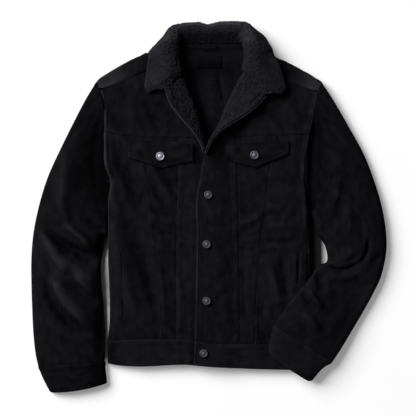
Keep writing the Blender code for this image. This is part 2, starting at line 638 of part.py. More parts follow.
def make_sleeve(side, rows, cuff, folds):
    """The sleeve's two halves, with a column at each of the armhole's corners, and the cuff's."""
    is_left = side == "left"
    curve_y = armhole_curve(is_left)[0]
    first = dict(zip(SLEEVE_COLUMNS, rows[0]))
    radius = first["side"] / 2
    length = np.hypot(first["in_x"] - first["out_x"], first["in_y"] - first["out_y"])
    share = (curve_y[-1] - curve_y[::-1]) / (curve_y[-1] - curve_y[0])
    knots = (share * length - radius) / (length - 2 * radius)
    knots = [knot for knot in knots if 0 < knot < 1]
    at = np.array(SIDE_TURN + knots + OTHER_TURN)
    away = -1 if is_left else 1
    for part, upper in (("upper", True), ("under", False)):
        rings = refine(rows, 2 if upper and is_left else 1)
        rings[0, [0, 2]] += away * ARMHOLE_GAP
        outer, inner = tube_skin(rings, at, is_left, upper, SLEEVE_WALL, folds)
        build_mesh(f"sleeve_{part}_{side}", outer, inner, CORDUROY)
    bow = np.array(CUFF_BOWS) * CUFF_BOW
    for part, upper in (("top", True), ("under", False)):
        outer, inner = tube_skin(cuff, np.array(CUFF_COLUMNS), is_left, upper, BAND_WALL, (), bow)
        build_mesh(f"cuff_{part}_{side}", outer, inner, CORDUROY)


def make_lapel(side, rows):
    """The turned-out front: a corduroy shell below, with the sherpa facing on it that rolls
    down at the roll line."""
    row = by_name(rows, LAPEL_COLUMNS)
    run_x, run_y = row["roll_x"] - row["edge_x"], row["roll_y"] - row["edge_y"]
    width = np.hypot(run_x, run_y)

    def spot(share):
        return row["edge_x"] + share * run_x, row["edge_y"] + share * run_y

    def place(across, up):
        return np.stack([*spot(across / width), base + up], -1)

    below = body_top(*spot(np.linspace(0, 1, LAPEL_PROBES)), side == "right")
    base = below.max(axis=1, keepdims=True) + LAPEL_CLEAR
    rim = np.minimum(LAPEL_RIM_WIDTH, 0.3 * width)
    reach = np.maximum(width - LAPEL_SHELL_SHORT, rim + 1)
    across = np.concatenate([0 * rim, 0.3 * rim, rim * 0.95, rim, reach], 1)
    thick = np.array([LAPEL_RIM_EDGE, LAPEL_RIM, LAPEL_RIM, LAPEL_SHELL, LAPEL_SHELL])
    build_mesh(f"lapel_shell_{side}", place(across, thick), place(across, 0 * thick), CORDUROY)

    radius = np.minimum(LAPEL_ROLL_RADIUS, 0.4 * width)
    low = LAPEL_SHELL + LAPEL_GAP
    high = low + LAPEL_FACING
    turn = np.radians([0, 30, 60, 90])
    start = rim + LAPEL_GAP
    flat = start + (width - radius - start) * np.array([0, 0.33, 0.66])
    round_across = width - radius + radius * np.sin(turn)
    round_up = high - radius + radius * np.cos(turn)
    inner_radius = 0.35 * radius
    inner_across = width - radius + inner_radius * np.sin(turn)
    inner_up = high - LAPEL_FACING - inner_radius + inner_radius * np.cos(turn)
    end = high - radius - LAPEL_ROLL_DROP
    outer = place(np.concatenate([flat, round_across, width], 1),
                  np.concatenate([high + 0 * flat, round_up, end], 1))
    inner = place(np.concatenate([flat, inner_across, width - radius + inner_radius], 1),
                  np.concatenate([low + 0 * flat, inner_up, end], 1))
    build_mesh(f"lapel_facing_{side}", outer, inner, SHERPA)


def surface_normals(grid):
    """Unit normals of a grid of points, from its central differences."""
    along_rows = np.gradient(grid, axis=0)
    along_columns = np.gradient(grid, axis=1)
    normal = np.cross(along_columns, along_rows)
    return normal / np.linalg.norm(normal, axis=-1, keepdims=True)


def collar_section(points):
    """A smooth curve from the free edge over the roll to the neck seam."""
    points = np.asarray(points, float)
    steps = np.linalg.norm(np.diff(points, axis=0), axis=1)
    knots = np.concatenate([[0], np.cumsum(steps)])
    roll = knots[3]
    shares = np.concatenate([np.linspace(0, roll, FALL_COLUMNS),
                             np.linspace(roll, knots[-1], STAND_COLUMNS)[1:]])
    chords = np.diff(points, axis=0) / np.diff(knots)[:, None]
    slopes = np.concatenate([chords[:1], (chords[1:] + chords[:-1]) / 2, chords[-1:]])
    i = np.clip(np.searchsorted(knots, shares) - 1, 0, len(knots) - 2)
    span = (knots[i + 1] - knots[i])[:, None]
    t = (shares - knots[i])[:, None] / span
    return ((1 + 2 * t) * (1 - t) ** 2 * points[i] + t * (1 - t) ** 2 * span * slopes[i]
            + t * t * (3 - 2 * t) * points[i + 1] + t * t * (t - 1) * span * slopes[i + 1])


def make_collar():
    """One folded skin, parted at the roll line into the fall and the stand."""
    outer = np.array([collar_section(row) for row in COLLAR])
    outer[..., 2] = np.maximum(outer[..., 2], 0)
    inner = outer - COLLAR_WALL * surface_normals(outer)
    rows = len(COLLAR)
    for row in list(range(WING_ROWS)) + list(range(rows - WING_ROWS, rows)):
        wing = slice(0, FALL_COLUMNS - 1)
        lifted = row > rows / 2
        lowest = body_top(inner[row, wing, 0], inner[row, wing, 1], lifted) + WING_CLEAR
        inner[row, wing, 2] = np.maximum(inner[row, wing, 2], lowest)
        outer[row, wing, 2] = np.maximum(outer[row, wing, 2],
                                         inner[row, wing, 2] + 0.7 * COLLAR_WALL)
    build_mesh("collar_fall", outer[:, :FALL_COLUMNS], inner[:, :FALL_COLUMNS], SHERPA)
    stand = outer[slice(*STAND_ROWS), FALL_COLUMNS - 1:].copy()
    roll_offset = (inner - outer)[slice(*STAND_ROWS), FALL_COLUMNS - 1][:, None]
    seam_offset = -STAND_WALL * surface_normals(outer)[slice(*STAND_ROWS), -1][:, None]
    step = stand[:, 1] - stand[:, 0]
    stand[:, 0] += step * (STAND_GAP / np.linalg.norm(step, axis=-1, keepdims=True))
    blend = np.linspace(0, 1, STAND_COLUMNS)[:, None]
    build_mesh("collar_stand", stand, stand + (1 - blend) * roll_offset + blend * seam_offset,
               SHERPA)


def make_flap(name, rows, lifted):
    """A flap that lies on the front, thinner along its upper and lower edge."""
    across, down = FLAP_GRID
    points, upper, lower = zip(*rows)
    x = np.linspace(points[0], points[-1], across)
    top = np.interp(x, points, upper)
    low = np.interp(x, points, lower)
    share = np.linspace(0, 1, down)[:, None]
    y = low + (top - low) * share
    x = np.broadcast_to(x, y.shape)
    base = body_top(x, y, lifted) + FLAP_CLEAR
    thin = np.where((share == 0) | (share == 1), FLAP_EDGE, 1.0)
    outer = np.stack([x, y, base + FLAP_WALL * thin], -1)
    build_mesh(name, outer, np.stack([x, y, base], -1), CORDUROY)


def make_welt(name, place):
    low_x, high_x, low_y, high_y = place
    y = np.linspace(low_y, high_y, WELT_ROWS)[:, None]
    centre = np.interp(y, [low_y, high_y], [low_x, high_x])
    x = centre + WELT_WIDTH * np.array([-0.5, 0.0, 0.5])
    y = np.broadcast_to(y, x.shape)
    base = body_top(x, y) + FLAP_CLEAR
    build_mesh(name, np.stack([x, y, base + WELT_WALL], -1), np.stack([x, y, base], -1), CORDUROY)


def make_label():
    """A bare woven label that lies on the lining."""
    width, height, thick = LABEL_SIZE
    x = LABEL_CENTRE[0] + width * np.linspace(-0.5, 0.5, LABEL_GRID[0])
    y = LABEL_CENTRE[1] + height * np.linspace(-0.5, 0.5, LABEL_GRID[1])
    x, y = np.meshgrid(x, y)
    base = LINING_TOP + LABEL_CLEAR + neck_lift(x, y)
    build_mesh("neck_label", np.stack([x, y, base + thick], -1), np.stack([x, y, base], -1), LINING)


def make_loop():
    """A short rope loop that bows up from the neck seam."""
    curve = bpy.data.curves.new("hanger_loop", "CURVE")
    curve.dimensions = "3D"
    spline = curve.splines.new("POLY")
    turns = np.linspace(0, math.pi, LOOP_POINTS)
    spline.points.add(len(turns) - 1)
    ground = LINING_TOP + NECK_LIFT + LOOP_RADIUS + LOOP_CLEAR
    for point, turn in zip(spline.points, turns):
        x = LOOP_CENTRE[0] - LOOP_SPAN / 2 * math.cos(turn)
        y = LOOP_CENTRE[1] - LOOP_BOW[0] * math.sin(turn)
        z = ground + LOOP_BOW[1] * math.sin(turn)
        point.co = (x / 1000, y / 1000, z / 1000, 1)
    curve.bevel_depth = LOOP_RADIUS / 1000
    curve.bevel_resolution = 1
    curve.use_fill_caps = True
    add_object("hanger_loop", curve, CORDUROY)


def make_button(name, size, x, y, ground):
    """A turned shank button: flat foot, rounded rim, a ring groove and a low dome."""
    radius, thick = size[0] / 2000, size[1] / 1000
    mesh = bpy.data.meshes.new(name)
    points = [(share * radius, 0.0, up * thick) for share, up in BUTTON_PROFILE]
    points = points[::-1] + [(0.0, 0.0, 0.0)]
    mesh.from_pydata(points, [(i, i + 1) for i in range(len(points) - 1)], [])
    button = add_object(name, mesh, METAL)
    screw = button.modifiers.new("turn", "SCREW")
    screw.steps = BUTTON_SIDES
    screw.render_steps = BUTTON_SIDES
    screw.use_merge_vertices = True
    screw.merge_threshold = 0.00001
    screw.use_normal_calculate = True
    button.location = (x / 1000, y / 1000, ground / 1000)


def make_buttons():
    """Each button stands clear of the highest cloth below it."""
    reach = np.linspace(-BUTTON_PROBE, BUTTON_PROBE, 5)
    near_x, near_y = np.meshgrid(reach, reach)
    for name, x, y in FLAP_BUTTONS:
        cloth = body_top(x + near_x, y + near_y, x > 0).max() + FLAP_CLEAR + FLAP_WALL
        make_button(name, FLAP_BUTTON, x, y, cloth + BUTTON_CLEAR)
    for name, x, y in PLACKET_BUTTONS:
        cloth = body_top(x + near_x, y + near_y, True).max()
        make_button(name, PLACKET_BUTTON, x, y, cloth + BUTTON_CLEAR)


def main():
    clear_scene()
    collection = bpy.data.collections.new(NAME)
    bpy.context.scene.collection.children.link(collection)
    make_back()
    make_fronts()
    make_sleeve("left", LEFT_SLEEVE, LEFT_CUFF, LEFT_FOLDS)
    make_sleeve("right", RIGHT_SLEEVE, RIGHT_CUFF, RIGHT_FOLDS)
    make_lapel("left", LEFT_LAPEL)
    make_lapel("right", RIGHT_LAPEL)
    make_collar()
    make_flap("flap_left", LEFT_FLAP, False)
    make_flap("flap_right", RIGHT_FLAP, True)
    make_welt("welt_left", LEFT_WELT)
    make_welt("welt_right", RIGHT_WELT)
    make_label()
    make_loop()
    make_buttons()


main()
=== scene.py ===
import math

import bmesh
import bpy
import numpy as np
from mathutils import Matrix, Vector


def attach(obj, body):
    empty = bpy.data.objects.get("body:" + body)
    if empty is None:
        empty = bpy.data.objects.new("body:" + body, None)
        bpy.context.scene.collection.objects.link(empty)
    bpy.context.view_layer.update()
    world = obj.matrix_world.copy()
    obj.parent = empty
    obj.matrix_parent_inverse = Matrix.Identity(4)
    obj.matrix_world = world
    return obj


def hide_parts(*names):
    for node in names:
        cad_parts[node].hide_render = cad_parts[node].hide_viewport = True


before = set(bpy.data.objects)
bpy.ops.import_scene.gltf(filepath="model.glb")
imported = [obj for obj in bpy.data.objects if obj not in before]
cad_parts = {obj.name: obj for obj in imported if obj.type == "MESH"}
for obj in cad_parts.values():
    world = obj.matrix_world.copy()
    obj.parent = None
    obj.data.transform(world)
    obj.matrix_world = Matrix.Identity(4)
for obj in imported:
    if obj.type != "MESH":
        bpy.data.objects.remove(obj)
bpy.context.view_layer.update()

# ---------------------------------------------------------------------------------------
# Stage: a plain white floor that glows, so that it stays white outside the cloth, one large
# soft light low on the upper left and a faint even light from all round.  The camera looks
# straight down on the laid jacket.
CAMERA_PLACE = (-0.0028, -0.0015, 4.0)
CAMERA_COVERS = 0.8528          # metres across the view, at the height of the cloth
CLOTH_HEIGHT = 0.015
LIGHT_AZIMUTH = 146.0           # degrees from +X towards +Y
LIGHT_ELEVATION = 37.0
LIGHT_DISTANCE = 20.0
LIGHT_SIZE = 12.4
LIGHT_POWER = 6500.0
SKY = 0.08
FLOOR_SIDE = 30.0
FLOOR_DROP = 0.0004             # below the underside of the cloth, so that they don't meet
FLOOR_WHITE = 0.82
FLOOR_GLOW = 0.23
BLACK = (0, 0, 0, 1)
# Painted shadow on the floor between a sleeve and the body: there the floor doesn't glow and is
# darker.  x and y of two boxes, in metres, how dark each is, and the width of their soft edges.
FLOOR_SHADOW_BOXES = ((-0.235, -0.190, -0.318, 0.080, 0.25), (0.190, 0.2405, -0.175, 0.080, 0.978))
FLOOR_SHADOW_EDGE = 0.022


class Dye:
    """A socket in a material's node tree.  A sum or product with it adds a Math node."""

    def __init__(self, tree, socket=None):
        self.tree = tree
        self.socket = socket

    def node(self, kind, settings=(), sockets=(), output=0):
        """Any other node: its settings, then its sockets by name or number; a ramp's stops
        are (place, grey) pairs.  Gives the output asked for."""
        made = self.tree.nodes.new(kind)
        for name, value in dict(settings).items():
            if name != "stops":
                setattr(made, name, value)
                continue
            for element, (place, grey) in zip(made.color_ramp.elements, value):
                element.position, element.color = place, (grey, grey, grey, 1)
        for name, value in dict(sockets).items():
            if isinstance(value, Dye):
                self.tree.links.new(value.socket, made.inputs[name])
            else:
                made.inputs[name].default_value = value
        return Dye(self.tree, made.outputs[output])

    def feed(self, socket):
        self.tree.links.new(self.socket, socket)

    def math(self, operation, *values):
        return self.node("ShaderNodeMath", {"operation": operation}, enumerate(values))

    def clip(self):
        return self.math("MINIMUM", self.math("MAXIMUM", self, 0.0), 1.0)

    def blend(self, factor, first, second):
        """A colour between two, by Mix."""
        return self.node("ShaderNodeMix", {"data_type": "RGBA"},
                         {0: factor, 6: first, 7: second}, 2)

    def __add__(self, other):
        return self.math("ADD", self, other)

    def __sub__(self, other):
        return self.math("SUBTRACT", self, other)

    def __rsub__(self, other):
        return self.math("SUBTRACT", other, self)

    def __mul__(self, other):
        return self.math("MULTIPLY", self, other)

    def __pow__(self, other):
        return self.math("POWER", self, other)


scene = bpy.context.scene
scene.view_settings.view_transform = "Standard"

floor_mesh = bpy.data.meshes.new("floor")
floor_mesh.from_pydata([(x * FLOOR_SIDE / 2, y * FLOOR_SIDE / 2, -FLOOR_DROP)
                        for x, y in ((-1, -1), (1, -1), (1, 1), (-1, 1))], [], [(0, 1, 2, 3)])
floor = bpy.data.objects.new("floor", floor_mesh)
scene.collection.objects.link(floor)
floor_finish = bpy.data.materials.new("floor")
floor_finish.use_nodes = True
floor_tree = floor_finish.node_tree
floor_start = Dye(floor_tree)
floor_place = floor_start.node("ShaderNodeTexCoord", (), (), 3)
floor_x, floor_y = (floor_start.node("ShaderNodeSeparateXYZ", (), {0: floor_place}, axis)
                    for axis in (0, 1))
glow = white = 1.0
# The painted shadows on the floor: in each box the glow goes out and the white darkens.
for x_low, x_high, y_low, y_high, dark in FLOOR_SHADOW_BOXES:
    inside = 1.0
    for place, low, high in ((floor_x, x_low, x_high), (floor_y, y_low, y_high)):
        reach = (high - low) / 2
        offset = floor_start.math("ABSOLUTE", place - (low + high) / 2)
        inside = ((reach - offset) * (1 / FLOOR_SHADOW_EDGE) + 0.5).clip() * inside
    glow = (1 - inside) * glow
    white = (1 - inside * dark) * white
floor_white, floor_light = (
    floor_start.node(kind, (), {0: floor_start.blend(share, BLACK, (grey, grey, grey, 1))})
    for kind, share, grey in (("ShaderNodeBsdfDiffuse", white, FLOOR_WHITE),
                              ("ShaderNodeEmission", glow, FLOOR_GLOW)))
floor_seen = floor_start.node("ShaderNodeAddShader", (), {0: floor_white, 1: floor_light})
to_camera = floor_start.node("ShaderNodeLightPath")
floor_start.node("ShaderNodeMixShader", (), {0: to_camera, 1: floor_white, 2: floor_seen}).feed(
    floor_tree.nodes["Material Output"].inputs["Surface"])
floor_mesh.materials.append(floor_finish)

sky = bpy.data.worlds.new("sky")
sky.use_nodes = True
sky.node_tree.nodes["Background"].inputs["Color"].default_value = (1, 1, 1, 1)
sky.node_tree.nodes["Background"].inputs["Strength"].default_value = SKY
scene.world = sky

light_data = bpy.data.lights.new("window", "AREA")
light_data.energy = LIGHT_POWER
light_data.size = LIGHT_SIZE
light = bpy.data.objects.new("window", light_data)
azimuth, elevation = math.radians(LIGHT_AZIMUTH), math.radians(LIGHT_ELEVATION)
from_centre = Vector((math.cos(azimuth) * math.cos(elevation),
                      math.sin(azimuth) * math.cos(elevation), math.sin(elevation)))
light.location = from_centre * LIGHT_DISTANCE
light.rotation_euler = from_centre.to_track_quat("Z", "Y").to_euler()
scene.collection.objects.link(light)

camera_data = bpy.data.cameras.new("camera")
camera_data.angle = 2 * math.atan(CAMERA_COVERS / 2 / (CAMERA_PLACE[2] - CLOTH_HEIGHT))
camera = bpy.data.objects.new("camera", camera_data)
camera.location = CAMERA_PLACE
scene.collection.objects.link(camera)
scene.camera = camera

# ---------------------------------------------------------------------------------------
# The back: a corduroy panel, a yoke and a hem band, sewn edge over edge and lying flat on
# the floor.  The tables give the form of the whole body, in millimetres; all the other
# pieces are fitted to it.
MM = 0.001
UP = np.array([0.0, 0.0, 1.0])
SHELL_WALL = 2.5
BAND_WALL = 4.5
HALF_GAP = 0.25             # half of the gap along a seam
OPEN_EDGE_RADIUS = 2.0
BODY_POWER = 4.0            # how flat the middle of the laid body is
SEAM_ANGLE = 0.03           # share of the rounded side left free at a side seam

# Rings of the body: place, both sides, height in the middle, thickness at the sides, and
# whether each side is folded (1) or open for the sleeve (0).
BODY_COLUMNS = ("y", "left", "right", "height", "side", "fold_left", "fold_right")
BODY = (
    (-336, -209, 199, 21, 13, 1, 1),
    (-319, -209, 200, 21.5, 13.5, 1, 1),
    (-278, -209, 204, 24, 17, 1, 1),
    (-241, -205, 206, 28, 20, 1, 1),
    (-200, -204, 207, 30, 20, 1, 1),
    (-118, -207, 206.5, 30, 20, 1, 1),
    (-51, -207.5, 206, 31, 20, 1, 1),
    (15, -207, 200, 32, 20, 1, 1),
    (56, -203, 196, 32, 20, 1, 1),
    (84, -213, 194, 32, 21, 0, 0),
    (132, -216, 202, 31, 21, 0, 0),
    (179, -215.5, 212.5, 30, 21, 0, 0),
    (208, -217, 217, 29, 21, 0, 0),
    (236, -223, 223, 27, 21, 0, 0),
    (258, -231.5, 228.5, 25, 20, 1, 1),
    (265, -225, 218, 24, 20, 1, 1),
    (272, -214.5, 207, 23.5, 20, 1, 1),
    (279, -203, 195, 23, 20, 1, 1),
    (288, -188, 179.5, 22.5, 20, 1, 1),
    (297, -171.5, 161.5, 22, 20, 1, 1),
    (304, -157, 143, 22, 20, 1, 1),
    (310, -142, 118, 21.5, 20, 1, 1),
    (314, -122, 100, 21, 20, 1, 1),
    (319, -98, 92, 21, 20, 1, 1),
    (325, -89, 86, 21, 20, 1, 1),
    (331, -82, 81, 21, 20, 1, 1),
)
NECK_LIFT = 9.5             # the collar's fall lies under the neck and lifts it
NECK_LIFT_Y = (262.0, 300.0)
NECK_LIFT_X = (118.0, 162.0)
NECK_MIDDLE = -2.0
PLACKET_LIFT = 5.5          # the right front lies on the left one near the buttons
LIFT_ENDS = (14.0, 62.0)

# Lines across the body, as (x, y).
HEM_LINE = ((-210, -320), (-187, -324.5), (-152, -326.5), (-38, -323.5),
            (-5, -326.5), (42, -329.5), (104, -332), (201, -334.5))
HEM_SEAM = ((-210, -272), (-32, -273), (1, -278), (104, -280), (207, -281.5))
BACK_YOKE_SEAM = ((-230, 214), (0, 208), (230, 214))
NECK_SEAM = ((-100, 331), (100, 331))

# Creases on the back, as on every table of creases: three points of a bent line, its height
# (below 0 for a trough) and how far it reaches on its left and on its right.
BACK_CREASES = (
    (-176, 60, -150, 20, -112, -30, -2.0, 8, 10),
    (-185, -20, -160, -60, -118, -90, -1.6, 9, 8),
    (172, 48, 150, 8, 116, -28, -2.0, 9, 9),
    (180, -60, 150, -95, 128, -150, -1.5, 8, 10),
    (-60, 150, -20, 120, 44, 128, -1.2, 12, 10),
    (-90, -160, -70, -205, -74, -255, -1.4, 9, 9),
    (70, -120, 84, -180, 76, -250, -1.3, 10, 8),
    (-30, 40, 6, 22, 60, 40, -1.0, 12, 12),
    (-150, 262, -110, 246, -60, 250, -1.2, 9, 9),
    (60, 246, 110, 244, 154, 262, -1.2, 9, 9),
)

CREASE_SHARES = np.linspace(0, 1, 21)   # where a crease's bent line is followed
CREASE_ENDS = (0.08, 0.36)              # how far it runs on past its ends, and its fade
CREASE_REACH = 2.6                      # beyond this many reaches it has no height left
# Unevenness of the cloth: height, slant of x by y and of y by x, size across and along, seed.
BACK_UNEVEN = ((0.5, 0, 0, 60, 85, 3),)


def cubic(t, span, start, end, slope_start, slope_end):
    """A cubic over a span, from start at t = 0 to end at t = 1, with its slopes there."""
    return ((1 + 2 * t) * (1 - t) ** 2 * start + t * t * (3 - 2 * t) * end
            + span * t * (1 - t) * ((1 - t) * slope_start - t * slope_end))


def curve(points, at):
    """A smooth line through (place, value) pairs.  Between two pairs it is a cubic; its slope
    at a pair is the mean of the chords beside it, each weighted by the other chord's span."""
    places, values = (np.array(column, float) for column in zip(*points))
    spans = np.diff(places)
    chords = np.diff(values) / spans
    mean = (chords[:-1] * spans[1:] + chords[1:] * spans[:-1]) / (spans[1:] + spans[:-1])
    slopes = np.concatenate([chords[:1], mean, chords[-1:]])
    i = np.clip(np.searchsorted(places, at, side="right") - 1, 0, len(spans) - 1)
    t = np.clip((np.asarray(at, float) - places[i]) / spans[i], 0, 1)
    return cubic(t, spans[i], values[i], values[i + 1], slopes[i], slopes[i + 1])


def soft_step(value):
    """0 up to 0, 1 from 1 on, and 3v^2 - 2v^3 between."""
    value = np.clip(value, 0, 1)
    return value * value * (3 - 2 * value)


def bell(value, reach):
    """1 at 0 and falling on both sides, as exp(-(value / reach)^2)."""
    return np.exp(-(value / reach) ** 2)


def body_ring(y):
    """Every column of the body's table at y, by name: whether a side is folded goes straight
    from ring to ring, the others are smooth."""
    columns = dict(zip(BODY_COLUMNS, zip(*BODY)))
    return {name: np.interp(y, columns["y"], column) if name.startswith("fold")
            else curve(zip(columns["y"], column), y) for name, column in columns.items()}


def corner_radii(ring):
    """Half the side's thickness where it is folded, and a small radius where it is open."""
    return [np.maximum(ring[fold] * ring["side"] / 2, OPEN_EDGE_RADIUS)
            for fold in ("fold_left", "fold_right")]


def arch(width, height, side, left_radius, right_radius, at, upper, power):
    """A flat-bottomed arch: at -1..0 a quarter circle round the left side, 0..1 across, where
    the top rises by 1 - |2a - 1|^power, and 1..2 a quarter circle round the right side."""
    left_turn = np.clip(1 + at, 0, 1) * math.pi / 2
    right_turn = np.clip(2 - at, 0, 1) * math.pi / 2
    across = left_radius + np.clip(at, 0, 1) * (width - left_radius - right_radius)
    across = across - left_radius * np.cos(left_turn) + right_radius * np.cos(right_turn)
    drop = left_radius * (1 - np.sin(left_turn)) + right_radius * (1 - np.sin(right_turn))
    bulge = 1 - np.abs(2 * across / width - 1) ** power
    return across, np.where(upper, side - drop + (height - side) * bulge, drop)


def neck_lift(x, y):
    """The rise of the whole body towards the collar: a soft step up y and another across."""
    low, high = NECK_LIFT_Y
    near, far = NECK_LIFT_X
    return (NECK_LIFT * soft_step((y - low) / (high - low))
            * soft_step((far - np.abs(x - NECK_MIDDLE)) / (far - near)))


def placket_lift(x):
    """The rise of the right front over the left one."""
    near, far = LIFT_ENDS
    return PLACKET_LIFT * soft_step((far - x) / (far - near))


def body_at(x, y):
    """Where x falls along the ring at y, as arch takes it."""
    ring = body_ring(y)
    left_radius, right_radius = corner_radii(ring)
    from_left, from_right = x - ring["left"], ring["right"] - x
    at = (from_left - left_radius) / (ring["right"] - ring["left"] - left_radius - right_radius)
    left_turn = np.arccos(np.clip(1 - from_left / left_radius, -1, 1))
    right_turn = np.arccos(np.clip(1 - from_right / right_radius, -1, 1))
    at = np.where(from_left < left_radius, left_turn / (math.pi / 2) - 1, at)
    return np.where(from_right < right_radius, 2 - right_turn / (math.pi / 2), at)


def body_point(at, y, upper, lifted):
    """The body's skin before any crease or seam, as points."""
    ring = body_ring(y)
    across, up = arch(ring["right"] - ring["left"], ring["height"], ring["side"],
                      *corner_radii(ring), at, upper, BODY_POWER)
    x = ring["left"] + across
    rise = neck_lift(x, y) + (placket_lift(x) if lifted else 0.0)
    return np.stack(np.broadcast_arrays(x, y, up + rise), -1)


def unit(vectors):
    return vectors / np.maximum(np.linalg.norm(vectors, axis=-1, keepdims=True), 1e-9)


def body_skin(at, y, upper, lifted):
    """Points of the skin, their outward normals from differences along at and y, and the
    directions in which the wall goes in: the normal at a fold, straight down at an open edge."""
    def skin(at, y):
        return body_point(at, y, upper, lifted)

    step, rise = 0.004, 0.5
    point = skin(at, y)
    run = skin(np.minimum(at + step, 2), y) - skin(np.maximum(at - step, -1), y)
    climb = (skin(at, y + rise) - skin(at, y - rise)) * (0, 1, 1)
    sign = 1.0 if upper else -1.0
    normal = unit(np.cross(run, climb)) * sign
    ring = body_ring(y)
    folded = np.where(at < 0.5, ring["fold_left"], ring["fold_right"])[..., None]
    return point, normal, -unit(folded * normal + (1 - folded) * sign * UP)


def creases(x, y, table):
    """Sum of soft bent ridges and troughs.  Each follows the parabola through its three
    points; across it the height falls as a bell with its own reach on each side, and it
    fades over about a third of its way at both ends."""
    total = np.zeros_like(x)
    share = CREASE_SHARES[:, None]
    beyond, fading = CREASE_ENDS
    for *corners, height, reach_left, reach_right in table:
        first, middle, last = np.reshape(corners, (3, 2))
        way = ((1 - share) * (1 - 2 * share) * first + 4 * share * (1 - share) * middle
               + share * (2 * share - 1) * last)
        far = CREASE_REACH * max(reach_left, reach_right)
        low, high = way.min(0) - far, way.max(0) + far
        near = (x > low[0]) & (x < high[0]) & (y > low[1]) & (y < high[1])
        if not near.any():
            continue
        point = np.stack([x[near], y[near]], -1)
        step = np.gradient(way, axis=0)
        heading, pace = unit(step), np.linalg.norm(step, axis=1)
        nearest = np.argmin(((point[:, None] - way) ** 2).sum(-1), axis=1)
        past = point - way[nearest]
        ahead = (past * heading[nearest]).sum(-1) / pace[nearest]
        aside = heading[nearest, 0] * past[:, 1] - heading[nearest, 1] * past[:, 0]
        place = (nearest + ahead) / (len(way) - 1)
        fade = soft_step(np.minimum(place + beyond, 1 + beyond - place) / fading)
        total[near] += height * fade * bell(aside, np.where(aside > 0, reach_left, reach_right))
    return total


def mottle(x, y, size_x, size_y, seed):
    """Smooth uneven height from -1 to 1: random values on a lattice of that size, blended
    with the soft step in both directions."""
    lattice = np.random.default_rng(seed).uniform(-1, 1, (97, 97))
    u, v = x / size_x + 48, y / size_y + 48
    i, j = np.floor(u).astype(int) % 96, np.floor(v).astype(int) % 96
    s, t = soft_step(u - np.floor(u)), soft_step(v - np.floor(v))
    return ((lattice[i, j] * (1 - s) + lattice[i + 1, j] * s) * (1 - t)
            + (lattice[i, j + 1] * (1 - s) + lattice[i + 1, j + 1] * s) * t)


def unevenness(x, y, table):
    """Sum of mottles, each over slanted axes."""
    return sum(height * mottle(x + slant_x * y, y + slant_y * x, across, along, seed)
               for height, slant_x, slant_y, across, along, seed in table)


def lie_of(table, uneven, deeper=1.0):
    """The lie of a piece as a function of x and y: its creases and its unevenness."""
    return lambda x, y: deeper * creases(x, y, table) + unevenness(x, y, uneven)


# How far from a sewn or turned edge the lines of a grid lie: close together over the edge's
# roll and its two rows of stitching.
LAP_LINES = (0, 0.35, 0.8, 1.3, 1.7, 2.2, 3.2, 4.8, 6.2, 6.9, 7.4, 7.9, 8.6, 9.8, 11.6)
TUCK_LINES = (0, 0.5, 1.2, 2.2, 3.6, 5.6, 8.2)
STITCH_ROWS = (1.7, 7.4)
LAP_RISE = 1.0
LAP_REACH = (8.2, 2.6)      # how wide a lap is, and the slope behind it
FOLD_ROLL = (1.6, 2.6)      # how deep a turned edge rolls down, and over what width
# What an edge does to the cloth beside it: the effect, its strength, how far from the edge
# its bell is and how wide.
EDGE_BELLS = {
    "lap": (("fall", 1, 0, 0.75), ("groove", 1, STITCH_ROWS[0], 0.6),
            ("groove", 1, STITCH_ROWS[1], 0.6), ("pull", 1, 8.0, 7.0), ("wear_and_painted_light", 0.5, 0.9, 0.8)),
    "tuck": (("dip", 1, 0, 1.9), ("pull", 1, 0, 9.0)),
    "fold": (("groove", 1, 6.4, 0.8), ("pull", 1, 8.0, 8.0)),
    "butt": (),
}
ARMHOLE_WEAR_AND_HIGHLIGHT = {"left": 2.4, "right": 0.9}      # how much lighter the pile is there: wear, and a painted highlight, most on the left, towards the light
# How much lighter a turned edge is: wear, and a painted highlight, most on the left, towards the
# light.
FOLD_WEAR_AND_HIGHLIGHT = {"left": 1.6, "right": 0.5, "bottom": 0.5}
# What each effect adds to the height and to the pile's tone: painted light where the cloth stands
# proud or puckers, painted shade in grooves and dips, and wear with a painted highlight.
EDGE_WEIGHTS = {"rise": (LAP_RISE, 0.2), "fall": (-0.8, 0), "groove": (-0.5, -0.3),
                "dip": (-0.5, -0.1), "pull": (0.8, 0.15), "wear_and_painted_light": (0, 0.4)}


def stations(first, last, span, pitch):
    """Lines of a grid between two edges, as (share, offset): place = start + share * (end -
    start) + offset.  They keep the given distances beside each edge, about a pitch between."""
    first, last = np.array(first, float), np.array(last, float)
    count = max(3, round((span - first[-1] - last[-1]) / pitch))
    middle = np.linspace(0, 1, count + 1)[1:-1]
    share = np.concatenate([0 * first, middle, 1 + 0 * last])
    offset = np.concatenate([first, first[-1] * (1 - middle) - last[-1] * middle, -last[::-1]])
    return share, offset


def lean(line, at):
    """How much longer than square to the line a step along the grid is."""
    slope = (line(at + 1.0) - line(at - 1.0)) / 2
    return np.minimum(np.sqrt(1 + slope * slope), 3.0)


def patch(bottom, top, left, right, columns, rows, middle):
    """x and y of a grid between four lines, and the distance of each point from each line.
    bottom and top give y for x, left and right give x for y; the points settle in passes."""
    share_x, offset_x = columns[0][None, :], columns[1][None, :]
    share_y, offset_y = rows[0][:, None], rows[1][:, None]
    x = np.full((share_y.size, share_x.size), float(middle[0]))
    y = np.full_like(x, float(middle[1]))
    for _ in range(7):
        x_left, x_right, y_low, y_high = left(y), right(y), bottom(x), top(x)
        lean_x = lean(left, y) * (1 - share_x) + lean(right, y) * share_x
        lean_y = lean(bottom, x) * (1 - share_y) + lean(top, x) * share_y
        x = x_left + share_x * (x_right - x_left) + offset_x * lean_x
        y = y_low + share_y * (y_high - y_low) + offset_y * lean_y
    gaps = {"left": (x - left(y)) / lean(left, y), "right": (right(y) - x) / lean(right, y),
            "bottom": (y - bottom(x)) / lean(bottom, x), "top": (top(x) - y) / lean(top, x)}
    return x, y, gaps


